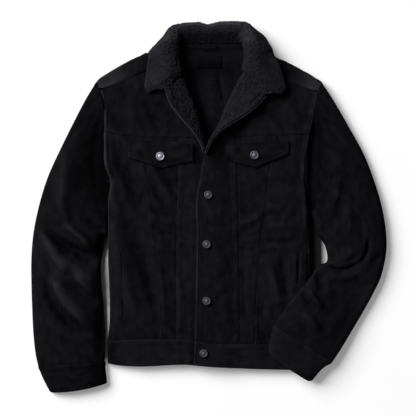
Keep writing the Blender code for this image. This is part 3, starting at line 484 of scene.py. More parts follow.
def edge_relief(gaps, kinds, seed, x, y, open_sides=()):
    """Height beside sewn edges, and the tone there: painted light where the cloth stands proud
    or puckers, painted shade in grooves and dips, and wear with a painted highlight.  A lap
    stands 1 mm proud over 9 mm, with a rounded rim, two stitched grooves and small puckers
    between them; a tuck dips towards the lap on it; a fold is a turned edge that rolls down
    over 2.5 mm, worn light with a painted highlight, with one groove behind the roll.  A lap
    round an armhole is worn light too, with a painted highlight."""
    effects = {name: np.zeros(np.shape(gaps["left"])) for name in EDGE_WEIGHTS}
    for side, kind in kinds.items():
        gap = np.maximum(gaps[side], 0)
        grown = [(name, most * bell(gap - place, reach))
                 for name, most, place, reach in EDGE_BELLS[kind]]
        if kind == "lap":
            grown.append(("rise", 1 - soft_step((gap - LAP_REACH[0]) / LAP_REACH[1])))
        if kind == "lap" and side in open_sides:
            grown.append(("wear_and_painted_light", ARMHOLE_WEAR_AND_HIGHLIGHT[side] * bell(gap - 3.4, 2.2)))
        if kind == "fold":
            depth, width = FOLD_ROLL
            grown.append(("fall", depth * np.sqrt(np.clip(1 - gap / width, 0, 1))))
            grown.append(("wear_and_painted_light", FOLD_WEAR_AND_HIGHLIGHT[side] * bell(gap - 2.2, 2.4)))
        for name, effect in grown:
            effects[name] = np.maximum(effects[name], effect)
    effects["pull"] = effects["pull"] * (0.5 * mottle(x, y, 9.0, 9.0, seed + 40)
                                         + 0.35 * mottle(x, y, 4.6, 4.6, seed + 41))
    return [sum(EDGE_WEIGHTS[name][i] * effect for name, effect in effects.items())
            for i in (0, 1)]


def dyed(name, colour, roughness, specular, bump, build):
    """A finish: constants on the shader, the strength and depth of its bump, and what varies:
    build(start, tone) gives that by the shader's sockets, and the height of the bump."""
    made = bpy.data.materials.new(name)
    made.use_nodes = True
    tree = made.node_tree
    shader = tree.nodes["Principled BSDF"]
    shader.inputs["Base Color"].default_value = (*colour, 1)
    shader.inputs["Roughness"].default_value = roughness
    shader.inputs["Specular IOR Level"].default_value = specular
    start = Dye(tree)
    tone = start.node("ShaderNodeAttribute", {"attribute_name": "tone"}, (), 2)
    varied, height = build(start, tone)
    for socket, value in varied.items():
        value.feed(shader.inputs[socket])
    strength, depth = bump
    start.node("ShaderNodeBump", (), {"Strength": strength, "Distance": depth,
                                      "Height": height}).feed(shader.inputs["Normal"])
    return made


WALE = 2.2 * MM             # from one rib of the corduroy to the next
DEEP_BLACK = (0.0027, 0.0026, 0.0031, 1)
NAP_BLACK = (0.0108, 0.0102, 0.0119, 1)
# A lighter black for worn pile and for painted light.
WORN_AND_LIT_BLACK = (0.0259, 0.0246, 0.0281, 1)


def corduroy_nap(start, tone):
    """Ribs along V with narrow valleys, a pile of short fibres on them, nap brushed in long
    streaks, and the tone attribute: painted light where the cloth stands proud, painted shade
    in its troughs, and past 0.6 a lighter black for worn pile and painted light."""
    place = start.node("ShaderNodeUVMap", {"uv_map": "cloth"})
    across = start.node("ShaderNodeSeparateXYZ", (), {0: place})
    streaks = start.node("ShaderNodeMapping", (), {0: place, 3: (330.0, 22.0, 1.0)})
    streak = start.node("ShaderNodeTexNoise", (), {0: streaks, "Scale": 1.0, "Detail": 2.0})
    brushed = start.node("ShaderNodeMapping", (), {0: place, 3: (70.0, 45.0, 1.0)})
    brush = start.node("ShaderNodeTexNoise", (), {0: brushed, "Scale": 1.0, "Detail": 4.0})
    pile = start.node("ShaderNodeTexNoise", (), {0: place, "Scale": 2600.0, "Detail": 2.0})
    rib = start.math("ABSOLUTE", start.math("SINE", across * (math.pi / WALE))) ** 0.6
    shade = (rib * 0.40 + streak * 0.50 + brush * 1.20 + pile * 0.10 - 0.77) + tone * 0.55
    nap = start.blend(shade.clip(), DEEP_BLACK, NAP_BLACK)
    worn_and_lit = ((tone - 0.6) * 1.5).clip()
    height = rib * 0.55 + streak * 0.25 + pile * 0.25
    return {"Base Color": start.blend(worn_and_lit, nap, WORN_AND_LIT_BLACK)}, height


corduroy = dyed("corduroy", NAP_BLACK[:3], 0.95, 0.003, (0.55, 0.0006), corduroy_nap)


def cloth(name, outer, inner, lay, tone, finish, lining=None, loop=False):
    """Closes an outer and an inner grid of points, in millimetres, into one wall of cloth.
    lay is where each point lies on the cut cloth, across and along the ribs; tone lightens
    the pile, with wear and with painted light and shade.  A loop's columns run all round, and its
    lay has one column more."""
    tone = np.broadcast_to(tone, outer.shape[:2])
    run = np.roll(outer, -1, 1) - outer if loop else np.diff(outer, axis=1)
    climb = np.diff(outer, axis=0)[:, :run.shape[1]]
    out = (outer - inner)[:-1, :run.shape[1]]
    if (np.cross(run[:-1], climb) * out).sum() < 0:
        outer, inner, lay, tone = (grid[:, ::-1] for grid in (outer, inner, lay, tone))
    rows, columns = outer.shape[:2]
    wide = columns + 1 if loop else columns
    index = np.arange(rows * wide).reshape(rows, wide)
    half = index.size
    a, b, c, d = index[:-1, :-1], index[:-1, 1:], index[1:, 1:], index[1:, :-1]
    skin = np.stack([a, b, c, d], -1).reshape(-1, 4)
    if loop:
        rims = [(index[0, :-1], index[0, 1:]), (index[-1, 1:], index[-1, :-1])]
    else:
        rim = np.concatenate([index[0], index[1:, -1], index[-1, -2::-1], index[-2:0:-1, 0]])
        rims = [(rim, np.roll(rim, -1))]
    sides = [np.stack([here, here + half, onward + half, onward], -1) for here, onward in rims]
    corner = np.concatenate([skin, skin[:, ::-1] + half] + sides)
    vertex = np.arange(rows)[:, None] * columns + np.arange(wide)[None, :] % columns
    vertex = np.concatenate([vertex.ravel(), vertex.ravel() + rows * columns])
    points = np.concatenate([outer.reshape(-1, 3), inner.reshape(-1, 3)]) * MM
    mesh = bpy.data.meshes.new(name)
    mesh.from_pydata(points.tolist(), [], vertex[corner].tolist())
    spread = np.concatenate([lay.reshape(-1, 2), lay.reshape(-1, 2)])[corner] * MM
    mesh.uv_layers.new(name="cloth").data.foreach_set("uv", spread.astype(np.float32).ravel())
    pile = np.concatenate([tone.ravel(), 0 * tone.ravel()]).astype(np.float32)
    mesh.attributes.new("tone", "FLOAT", "POINT").data.foreach_set("value", pile)
    mesh.materials.append(finish)
    if lining is not None:
        mesh.materials.append(lining)
        which = np.zeros(len(corner), np.int32)
        which[len(skin):2 * len(skin)] = 1
        mesh.polygons.foreach_set("material_index", which)
    mesh.shade_smooth()
    mesh.set_sharp_from_angle(angle=math.radians(62))
    mesh.update()
    made = bpy.data.objects.new(name + "_cloth", mesh)
    scene.collection.objects.link(made)
    return made


def placed(piece, nodes=()):
    """What every piece says: what carries it, and what it stands for, which is the node of its own
    name if no others are given."""
    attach(piece, "root")
    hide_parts(*(nodes or [piece.name.removesuffix("_cloth").removesuffix("_metal")]))


def sewn(piece, nodes=()):
    """Places a piece of cloth as placed does, and gives it back."""
    placed(piece, nodes)
    return piece


SIDE_LINES = np.linspace(-1 + SEAM_ANGLE, 0, 10)[:-1]
EDGES = ("bottom", "top", "left", "right")
EDGE_LINES = {"lap": LAP_LINES, "fold": LAP_LINES, "tuck": TUCK_LINES, "butt": TUCK_LINES[:4]}
SHEER_SIDE = (0, 3)         # lines beside a side that the cloth only goes round
LIE_PAINTED_LIGHT = 0.085            # painted light on a ridge and painted shade in a trough, for each mm


def round_side(at, y, lay, gaps, side):
    """Adds the columns that go round a folded side, beyond the grid's edge."""
    is_left = side == "left"
    end, turn = (0, SIDE_LINES) if is_left else (1, 1 - SIDE_LINES[::-1])
    rim = slice(0, 1) if is_left else slice(-1, None)
    quarter = math.pi / 2 * corner_radii(body_ring(y[:, rim]))[end]
    arc = np.abs(turn - end) * quarter
    whole = (1 - SEAM_ANGLE) * quarter

    def joined(old, extra):
        extra = np.broadcast_to(extra, arc.shape)
        return np.concatenate([extra, old] if is_left else [old, extra], 1)

    made = {name: joined(gap, gap[:, rim] + (arc if name in ("left", "right") else 0))
            for name, gap in gaps.items()}
    made[side] = joined(gaps[side] + whole, whole - arc)
    lay = joined(lay, lay[:, rim] + (-arc if is_left else arc))
    return joined(at, turn), joined(y, y[:, rim]), lay, made


def body_panel(name, bottom, top, left, right, wall, kinds, relief, seed, upper=True,
               lifted=False, pitch=3.3, row_pitch=None, lining=None, across_lay=False,
               middle=(0, 0), pile_and_painted_light=lambda x, y: 0.0):
    """A panel of the body between four lines; None for left or right is the side itself,
    and the panel then goes round it to the side seam.  kinds says how its edges are sewn, in
    the order of EDGES; relief(x, y) is the lie of the cloth."""
    kinds = dict(zip(EDGES, kinds.split()))

    def left_line(y):
        ring = body_ring(y)
        return ring["left"] + corner_radii(ring)[0] if left is None else left(y) + HALF_GAP

    def right_line(y):
        ring = body_ring(y)
        return ring["right"] - corner_radii(ring)[1] if right is None else right(y) - HALF_GAP

    def low_line(x):
        return bottom(x) + HALF_GAP

    def high_line(x):
        return top(x) - HALF_GAP

    rounded = [side for side, line in (("left", left), ("right", right)) if line is None]
    beside = {edge: EDGE_LINES[kind] for edge, kind in kinds.items()}
    beside.update({side: SHEER_SIDE for side in rounded if kinds[side] == "butt"})
    mid_x, mid_y = (np.array(place, float) for place in middle)
    columns = stations(beside["left"], beside["right"], right_line(mid_y) - left_line(mid_y), pitch)
    rows = stations(beside["bottom"], beside["top"], high_line(mid_x) - low_line(mid_x),
                    row_pitch or pitch)
    lay_x, y, gaps = patch(low_line, high_line, left_line, right_line, columns, rows, middle)
    at = body_at(lay_x, y)
    for side in rounded:
        at, y, lay_x, gaps = round_side(at, y, lay_x, gaps, side)
    point, normal, inward = body_skin(at, y, upper, lifted)
    x = point[..., 0]
    lie = relief(x, y)
    detail, wear_and_painted_light = edge_relief(gaps, kinds, seed, x, y, rounded)
    if rounded and "lap" in (kinds["left"], kinds["right"]):
        plain = {edge: "butt" if kind == "lap" and edge in ("left", "right") else kind
                 for edge, kind in kinds.items()}
        smooth, smooth_wear_and_painted_light = edge_relief(gaps, plain, seed, x, y)
        side_at = 0 if left is None else 1
        folded = body_ring(y)["fold_" + rounded[0]] * (np.abs(at - side_at) < 0.25)
        detail = detail + folded * (smooth - detail)
        wear_and_painted_light = wear_and_painted_light + folded * (smooth_wear_and_painted_light - wear_and_painted_light)
    upward = UP if upper else -UP
    if not upper:
        flat_part = np.clip(-normal[..., 2], 0, 1)
        lie = -np.abs(lie) * flat_part
        detail = detail - LAP_RISE * flat_part
    lie = lie * np.clip(1.5 * np.abs(normal[..., 2]), 0, 1)
    outer = point + upward * lie[..., None] + normal * detail[..., None]
    if not upper:
        outer[..., 2] = np.maximum(outer[..., 2], 0)
    inner = point + upward * np.minimum(lie, 1.5)[..., None] + inward * wall
    lay = np.stack([y, lay_x] if across_lay else [lay_x, y], -1)
    # The tone: painted light on ridges and painted shade in troughs, the edges' wear and painted
    # light, and the pile with its patches of painted light and shade.
    tone = np.clip(lie * LIE_PAINTED_LIGHT, -0.6, 0.5) + wear_and_painted_light + pile_and_painted_light(x, y)
    return cloth(name, outer, inner, lay, tone, corduroy, lining)


def line_of(points):
    """A smooth line as a function."""
    return lambda at: curve(points, at)


back_lie = lie_of(BACK_CREASES, BACK_UNEVEN)
hem_line, hem_seam, back_yoke_seam, neck_seam = (
    line_of(line) for line in (HEM_LINE, HEM_SEAM, BACK_YOKE_SEAM, NECK_SEAM))
back_panel = body_panel("back_panel", hem_seam, back_yoke_seam, None, None, SHELL_WALL,
                        "tuck tuck butt butt", back_lie, upper=False, pitch=6.0, seed=2)
sewn(back_panel)
back_yoke = body_panel("back_yoke", back_yoke_seam, neck_seam, None, None, SHELL_WALL,
                       "lap butt butt butt", back_lie, upper=False, pitch=6.0, row_pitch=2.6,
                       seed=3, middle=(0, 270))
sewn(back_yoke)
hem_back = body_panel("hem_back", hem_line, hem_seam, None, None, BAND_WALL,
                      "fold lap butt butt", back_lie, upper=False, pitch=6.0, row_pitch=3.0,
                      seed=4, across_lay=True, middle=(0, -300))
sewn(hem_back)

# ---------------------------------------------------------------------------------------
# The back's lining: curly sherpa pile, a layer of its own inside the back, seen down the
# neck.  Its curls are rounded knots of yarn, set close and uneven.
LINING_WALL = 6.0
LINING_CLEAR = 0.7
LINING_INSET = 18.0
LINING_SPAN = (-270.0, 334.0)
NECK_WINDOW = (-96.0, 96.0, 96.0, 334.0)     # where the lining shows: x and y
LINING_REACH = 200.0                        # half the grid's width before it is fitted in
LINING_PITCH = (1.7, 12.0)                  # from line to line in the window, and elsewhere
# Patches of the lining: where its curls are built and how strongly, how much it rises towards
# the stand, and its tone: darker all over, painted light down the left, where the collar casts
# its shadow, and painted shade at the top, under the collar.
LINING_WINDOW = ((0.6, (0, 1, 96, 20), (1, 0, -100, 12), (-1, 0, -100, 12)),)
LINING_RISE = ((3.4, (0, 1, 318, 15), (1, 0, -74, 12), (-1, 0, -74, 12)),)
LINING_LIGHT_AND_SHADE = ((-0.34,), (0.7, (-1, -0.13, 9, 8)), (-0.3, (0, 1, 278, 30)))
LINING_CREASES = (
    (-4, 272, 4, 226, 10, 160, 3.2, 14, 14),
    (18, 286, 26, 240, 34, 212, -3, 5, 6),
    (-36, 296, -28, 252, -22, 206, -2.6, 10, 10),
    (40, 300, 50, 268, 50, 236, -2.2, 8, 8),
)
CURL = 4.4                  # a knot of yarn, across
CURL_RISE = 1.0
YARN = 3.6                  # from one loop of yarn to the next
YARN_RISE = 0.9
SHERPA_DEEP = (0.0062, 0.0062, 0.0076, 1)
SHERPA_TIP = (0.0297, 0.0289, 0.0346, 1)
CURL_PUSH = (8.0, 2.4)      # the slow noise that moves the knots: its size and its reach
FINE_CURL = 2.1


def clouds(points, size, seed):
    """Smooth noise from -1 to 1 over the points: random values on a cubic lattice of that
    size, blended with the soft step along all three axes."""
    lattice = np.random.default_rng(seed).uniform(-1, 1, (33, 33, 33))
    scaled = points / size + 160
    cell = np.floor(scaled).astype(int)
    u, v, w = np.moveaxis(soft_step(scaled - cell), -1, 0)
    i, j, k = np.moveaxis(cell % 32, -1, 0)
    total = 0.0
    for a, b, c in np.ndindex(2, 2, 2):
        share = (u if a else 1 - u) * (v if b else 1 - v) * (w if c else 1 - w)
        total = total + share * lattice[i + a, j + b, k + c]
    return total


def knots(points, size, seed):
    """Height of rounded knots: each cell of a cubic lattice holds one centre at a random
    place, and the height is 1 at the nearest centre, falling as 1 - d^2."""
    scaled = points / size
    cell = np.floor(scaled).astype(int)
    jitter = np.random.default_rng(seed).uniform(0.05, 0.95, (32, 32, 32, 3))
    nearest = np.full(points.shape[:-1], 9.0)
    for step in np.stack(np.meshgrid(*[(-1, 0, 1)] * 3, indexing="ij"), -1).reshape(-1, 3):
        home = cell + step
        centre = home + jitter[home[..., 0] % 32, home[..., 1] % 32, home[..., 2] % 32]
        nearest = np.minimum(nearest, np.linalg.norm(scaled - centre, axis=-1))
    return 1 - np.clip(nearest, 0, 1) ** 2


def curls(points, seed):
    """Displacement of the pile and its tone, which follows the height as painted shade between
    the curls and painted light on their tips: knots and looped ridges of yarn over the same
    points, pushed about by a slower noise so that neither lies in rows."""
    size, reach = CURL_PUSH
    moved = points + reach * np.stack([clouds(points, size, seed + i) for i in range(3)], -1)
    knot = knots(moved, CURL, seed)
    ridge = 1 - 2.2 * np.abs(clouds(moved, YARN, seed + 7))
    fine = clouds(points, FINE_CURL, seed + 9)
    rise = CURL_RISE * (knot - 0.6) + YARN_RISE * 0.5 * ridge + 0.35 * fine
    return rise, np.clip(0.38 + 0.35 * (knot - 0.5) + 0.18 * ridge + 0.12 * fine, -0.2, 1)


def sherpa_pile(start, tone):
    """Painted shade between the curls and painted light on their tips, by the tone, darker also
    where the yarn's bump is low, with fine fibres over both.
    """
    place = start.node("ShaderNodeTexCoord", (), (), 3)
    fibres = start.node("ShaderNodeTexNoise", (), {0: place, "Scale": 900.0, "Detail": 3.0})
    patches = start.node("ShaderNodeTexNoise", (), {0: place, "Scale": 60.0, "Detail": 2.0})
    yarn = start.node("ShaderNodeTexVoronoi", (), {0: place, "Scale": 420.0})
    shade = tone * 0.75 + fibres * 0.50 + patches * 0.30 - yarn * 0.14 - 0.32
    height = fibres * 0.5 + (1 - yarn) * 0.6
    return {"Base Color": start.blend(shade.clip(), SHERPA_DEEP, SHERPA_TIP)}, height


sherpa = dyed("sherpa", SHERPA_TIP[:3], 1.0, 0.003, (0.7, 0.0012), sherpa_pile)


def soft_patches(x, y, table):
    """Sum of soft-edged patches: each is an amount times soft steps, given by a slant across
    and along, where the step starts on the slanted line and its width."""
    return sum(amount * math.prod(soft_step((across * x + along * y - start) / width)
                                  for across, along, start, width in steps)
               for amount, *steps in table)


def lining_top(x, y):
    """Height of the lining's base cloth over the floor."""
    return (SHELL_WALL + LINING_CLEAR + LINING_WALL + neck_lift(x, y)
            + soft_patches(x, y, LINING_RISE))


def uneven_lines(low, high, fine_low, fine_high):
    """Lines of a grid, close together between fine_low and fine_high only."""
    fine, coarse = LINING_PITCH
    before = np.linspace(low, fine_low, int((fine_low - low) / coarse) + 1)[:-1]
    after = np.linspace(fine_high, high, max(2, int((high - fine_high) / coarse)) + 1)
    return np.concatenate([before, np.arange(fine_low, fine_high, fine), after])


window_left, window_right, window_low, window_high = NECK_WINDOW
first_y, last_y = LINING_SPAN
lining_x, lining_y = np.meshgrid(
    uneven_lines(-LINING_REACH, LINING_REACH, window_left, window_right),
    np.minimum(uneven_lines(first_y, last_y + 1, window_low, window_high - 1), last_y))
lining_ring = body_ring(lining_y)
room = np.minimum(-lining_ring["left"], lining_ring["right"]) - LINING_INSET
lining_x = lining_x * np.minimum(1, room / LINING_REACH)
lining_point = np.stack([lining_x, lining_y, lining_top(lining_x, lining_y)], -1)
pile_rise, pile_tone = curls(lining_point, 11)
in_window = soft_patches(lining_x, lining_y, LINING_WINDOW)
lining_bands = creases(lining_x, lining_y, LINING_CREASES)
lining_lift = (lining_bands + in_window * pile_rise - 0.4)[..., None] * UP
# Painted light on the lining's ridges and painted shade in its troughs.
lining_tone = (in_window * pile_tone + 0.03 * lining_bands
               + soft_patches(lining_x, lining_y, LINING_LIGHT_AND_SHADE))
back_lining = cloth("back_lining", lining_point + lining_lift, lining_point - LINING_WALL * UP,
                    lining_point[..., :2], lining_tone, sherpa)
sewn(back_lining)

# ---------------------------------------------------------------------------------------
# The fronts: on each side three corduroy panels below the chest, quilted to sherpa, with
# the centre and side panels lapped over the middle one and stitched twice.  The right
# front lies on the left one, its edge turned and rolled.
FRONT_WALL = 8.0
PLACKET_WALL = 5.0
CHEST_SEAM = ((-218, 155.5), (-209, 153), (-152, 145), (-35, 141.5),
              (46, 143), (114, 147), (200, 150), (211, 151))
PLACKET_EDGE = ((-336, -34), (-278, -31), (-190, -28.7), (-88, -27.1), (-36, -26.8),
                (-5, -27.9), (15, -27.2), (35, -24.9), (56, -20.2), (76, -16.4), (97, -13.2),
                (108, -11.1), (118, -7.4), (127, 0), (143, 12))
UNDER_EDGE = ((-336, 9.5), (76, 9.5), (97, 3.5), (113, -9), (126, -15.5), (143, -20.5))
LEFT_OUTER_SEAM = ((-274, -96), (-241, -97), (-190, -101), (-129, -107), (-87, -111.5),
                   (-36, -116.5), (15, -120), (46, -127), (82, -130.5), (147, -136))
LEFT_INNER_SEAM = ((-274, -68.5), (-87, -67.5), (82, -64.5), (147, -63))
RIGHT_INNER_SEAM = ((-281, 61), (-87, 59.5), (80, 55.5), (147, 53.5))
RIGHT_OUTER_SEAM = ((-281, 93.5), (-241, 93.5), (-149, 97.5), (-67, 104), (-32, 107.5),
                    (-1, 114), (50, 117.5), (89, 123.5), (150, 128.5))
FRONT_CREASES = (
    (-221, 117, -206, 46, -178, -18, 4.4, 13, 13),
    (-191, 135, -165, 56, -135, -8, -4.2, 13, 13),
    (-203, -26, -182, -112, -150, -235, 4, 13, 12),
    (-180, -18, -143, -106, -106, -241, -3.5, 14, 14),
    (-189, -98, -187, -190, -187, -260, 1.2, 8, 8),
    (-124, 89, -99, 48, -72, 11, 3.1, 6, 7),
    (-107, 91, -85, 56, -64, 27, -2.8, 6, 5),
    (-91, 91, -77, 70, -62, 52, 1.8, 5, 5),
    (-122, 56, -101, 19, -75, -12, -2.2, 6, 6),
    (-122, 1, -101, -12, -77, -18, -2, 5, 5),
    (-122, -14, -97, -28, -72, -34, 1.8, 5, 5),
    (-118, -34, -95, -51, -72, -55, -2, 5, 6),
    (-130, -63, -105, -81, -77, -88, 1.6, 6, 6),
    (-105, -112, -97, -159, -93, -231, 1.8, 7, 8),
    (-130, -118, -118, -170, -109, -231, -1.6, 6, 6),
    (-66, 9, -48, -2, -29, -6, -1.8, 4, 4),
    (-68, -38, -48, -51, -27, -57, -1.8, 4, 5),
    (-64, -67, -48, -75, -29, -92, 1.5, 5, 6),
    (-64, -139, -56, -190, -60, -252, 1.2, 6, 7),
    (7, -38, 26, -47, 48, -49, 1.3, 5, 5),
    (5, -55, 26, -67, 48, -69, -1.5, 4, 5),
    (-9, -104, 18, -112, 46, -98, 0.8, 6, 7),
    (-5, 5, 5, -14, 18, -30, 1.2, 6, 6),
    (26, -174, 34, -211, 30, -252, 1, 8, 8),
    (63, -6, 77, -14, 94, -10, -1.5, 4, 4),
    (61, -24, 81, -30, 102, -14, 2.2, 4, 5),
    (61, -38, 81, -47, 100, -30, -1.8, 3.5, 3.5),
    (63, -63, 81, -67, 104, -59, 1.8, 5, 5),
    (61, -81, 79, -88, 104, -79, -1.8, 5, 5),
    (67, -98, 71, -170, 69, -241, -1.3, 5, 6),
    (112, -6, 133, 1, 157, -6, 1.8, 5, 6),
    (108, -20, 128, -14, 153, -18, -1.6, 4, 4),
    (112, -43, 145, -38, 184, -43, 2.6, 7, 8),
    (110, -69, 145, -71, 188, -67, -2.6, 6, 7),
    (112, -88, 137, -79, 165, -88, 1.4, 6, 6),
    (124, -98, 135, -159, 147, -211, 4, 7, 11),
    (145, -98, 155, -149, 163, -190, -4.2, 7, 7),
    (194, 87, 196, 25, 202, -51, 3, 5, 6),
    (183.5, -95, 181.5, -130, 180.5, -168, -5, 3, 3),
    (178, -88, 180, -139, 178, -170, 2.2, 8, 7),
    (120, -190, 120, -221, 116, -262, 1.6, 9, 9),
    (124, 66, 153, 44, 178, 15, 1.5, 8, 8),
    (137, 80, 165, 68, 186, 44, -1.4, 7, 7),
    (-187, 220, -163, 195, -134, 171, 2.2, 10, 10),
    (-142, 220, -122, 195, -109, 162, -2.4, 9, 9),
    (-200, 183, -187, 167, -179, 150, -1.8, 7, 7),
    (153, 220, 169, 195, 186, 167, 2.2, 10, 10),
    (124, 203, 137, 183, 153, 162, -1.8, 8, 8),
    (-179, 117, -175, 97, -171, 76, 1.4, 6, 6),
    (18, 117, 46, 142, 87, 175, -4, 16, 16),
)
FOREARM_EDGE = (240.0, -105.0, 112.0, -300.0)    # the right forearm lies below this line
FOREARM_CLEAR = (4.0, 30.0)
FRONT_UNEVEN = ((1.0, 0.35, 0, 15, 36, 21), (0.8, 0, -0.2, 30, 13, 22), (1.5, 0, 0, 46, 70, 23),
                (0.35, 0, 0, 8, 11, 24))
FRONT_DEEPER = ((1.3,), (0.6, (-1, 0, 60, 20)))     # the creases' depth, more on the left side
# Patches of pile made lighter or darker: painted shadows of the right cuff and the right
# lapel, painted shade beside the right front's edge, darker pile at the left end of the hem,
# and painted light on the right side's rounded edge, which turns away from the light: x, y,
# reach across and along, and how much.  The last six are the ends of the buttonholes that
# show beside the buttons.
PILE_PATCHES_AND_SHADOWS = (
    (-205, -298, 14, 28, -1.1),
    (108, -272, 13, 34, -0.9),
    (-25, 98, 7, 30, -1.0),
    (16, 112, 12, 24, -1.6),
    (206, -105, 9, 45, 0.9),
    (-33, -305, 6, 26, -0.9),
    (8.5, 24, 2.4, 2.2, 0.8),
    (8.5, -75, 2.4, 2.6, 0.8),
    (8.5, -188, 2.4, 2.6, 0.8),
    (12.5, 24, 1.6, 3, -0.8),
    (12.5, -75, 1.6, 3, -0.8),
    (12.5, -188, 1.6, 3, -0.8),
)
EDGE_FOOT_SHADE = (4.5, 3.2, 0.4)     # painted shade at the foot of the right front's edge: place, width, depth


def clear_of_forearm(x, y):
    """1 on open cloth, falling softly to 0 where the right forearm presses it flat."""
    x0, y0, x1, y1 = FOREARM_EDGE
    beyond = ((y - y0) * (x1 - x0) - (x - x0) * (y1 - y0)) / math.hypot(x1 - x0, y1 - y0)
    near, far = FOREARM_CLEAR
    return soft_step((-beyond - near) / (far - near))


def front_lie(x, y):
    """Creases of both fronts, small drag lines and a slow unevenness."""
    deep = creases(x, y, FRONT_CREASES) * soft_patches(x, y, FRONT_DEEPER)
    return clear_of_forearm(x, y) * (deep + unevenness(x, y, FRONT_UNEVEN))


def front_pile_and_painted_light(amount):
    """Pile on a front: the same all over but for the patches, most of them painted light and
    shade, and with painted shade along the foot of the right front's edge."""
    def pile(x, y):
        place, width, depth = EDGE_FOOT_SHADE
        beside = placket_edge(y) - x
        total = amount - depth * bell(beside - place, width) * (beside > 0)
        for at_x, at_y, across, along, change in PILE_PATCHES_AND_SHADOWS:
            total = total + change * bell(x - at_x, across) * bell(y - at_y, along)
        return total
    return pile


(chest_seam, placket_edge, under_edge, left_outer, left_inner, right_inner, right_outer) = (
    line_of(line) for line in (CHEST_SEAM, PLACKET_EDGE, UNDER_EDGE, LEFT_OUTER_SEAM,
                               LEFT_INNER_SEAM, RIGHT_INNER_SEAM, RIGHT_OUTER_SEAM))
# Name, left line, right line, wall, how the sides are sewn, whether it is lifted with the
# right front, middle, pile and flat size.
FRONTS = (
    ("front_side_left", None, left_outer, FRONT_WALL, "lap lap", False, -160, 0.08,
     (0.118, 0.425)),
    ("front_mid_left", left_outer, left_inner, FRONT_WALL, "tuck tuck", False, -90, -0.02,
     (0.06, 0.418)),
    ("front_centre_left", left_inner, under_edge, PLACKET_WALL, "lap fold", False, -30, 0.33,
     (0.08, 0.418)),
    ("front_centre_right", placket_edge, right_inner, PLACKET_WALL, "fold lap", True, 10, 0.1,
     (0.092, 0.425)),
    ("front_mid_right", right_inner, right_outer, FRONT_WALL, "tuck tuck", True, 80, 0.26,
     (0.06, 0.425)),
    ("front_side_right", right_outer, None, FRONT_WALL, "lap lap", False, 160, 0.24,
     (0.118, 0.43)),
)
fronts = {}
for seed, (name, left, right, wall, sides, lifted, middle, pile, flat) in enumerate(FRONTS, 5):
    fronts[name] = body_panel(name, hem_seam, chest_seam, left, right, wall, "tuck tuck " + sides,
                              front_lie, lifted=lifted, seed=seed, lining=sherpa,
                              middle=(middle, -60), pile_and_painted_light=front_pile_and_painted_light(pile))
    sewn(fronts[name])

# ---------------------------------------------------------------------------------------
# The hem band: two plies of corduroy, its ribs running round the body, folded at the hem
# and lapped over the panels with two rows of stitching.
# Name, left line, right line, how the sides are sewn, whether it is lifted with the right
# front, middle and flat size.
HEM_FRONTS = (
    ("hem_front_left", None, under_edge, "butt fold", False, (-100, -300), (0.235, 0.053)),
    ("hem_front_right", placket_edge, None, "fold butt", True, (100, -305), (0.243, 0.053)),
)
below = back_lining
for seed, (name, left, right, sides, lifted, middle, flat) in enumerate(HEM_FRONTS, 12):
    band = body_panel(name, hem_line, hem_seam, left, right, BAND_WALL, "fold lap " + sides,
                      front_lie, lifted=lifted, row_pitch=3.0, seed=seed, across_lay=True,
                      middle=middle, pile_and_painted_light=front_pile_and_painted_light(0.41))
    below = sewn(band)
hem_front_right = below

# ---------------------------------------------------------------------------------------
# The chest yokes and the shoulders: a yoke on each side from the chest seam to the shoulder
# seam, lapped over the panels, the armhole and itself lapped by the strip of back yoke that
# comes over the shoulder.
LEFT_ROLL = ((126, -7), (163, -13), (204, -27.5), (234, -39.5),
             (267, -52), (296, -62), (331, -64.5))
RIGHT_ROLL = ((128, 1), (169, 17.5), (210, 34), (251, 52.5), (279, 67), (312, 71), (331, 69))
ROLL_ALLOWANCE = 8.5
LEFT_SHOULDER_SEAM = ((240, -224.5), (255, -188), (265, -165), (279, -128), (297, -85),
                      (308, -72.5), (318, -71.5), (331, -70.5))
RIGHT_SHOULDER_SEAM = ((235, 223), (255, 168.5), (265, 147), (279, 118), (297, 86.5),
                       (308, 80.5), (318, 79.5), (331, 79))
YOKE_TOP_ROWS = 5           # rows of the shoulder seam that the chest yoke reaches


def seam_across(seam):
    """A shoulder seam as y for x."""
    return line_of(sorted((x, y) for y, x in seam[:YOKE_TOP_ROWS]))


def yoke(name, seam, roll, is_left, pile):
    """A chest yoke: the armhole and the front's roll line at its sides."""
    away = -1 if is_left else 1

    def roll_line(y):
        return curve(roll, y) + away * ROLL_ALLOWANCE

    lines = (None, roll_line) if is_left else (roll_line, None)
    return body_panel(name, chest_seam, seam_across(seam), *lines, FRONT_WALL,
                      "lap tuck lap butt" if is_left else "lap tuck butt lap", front_lie,
                      lifted=not is_left, seed=15, lining=sherpa, middle=(110 * away, 200),
                      pile_and_painted_light=front_pile_and_painted_light(pile))


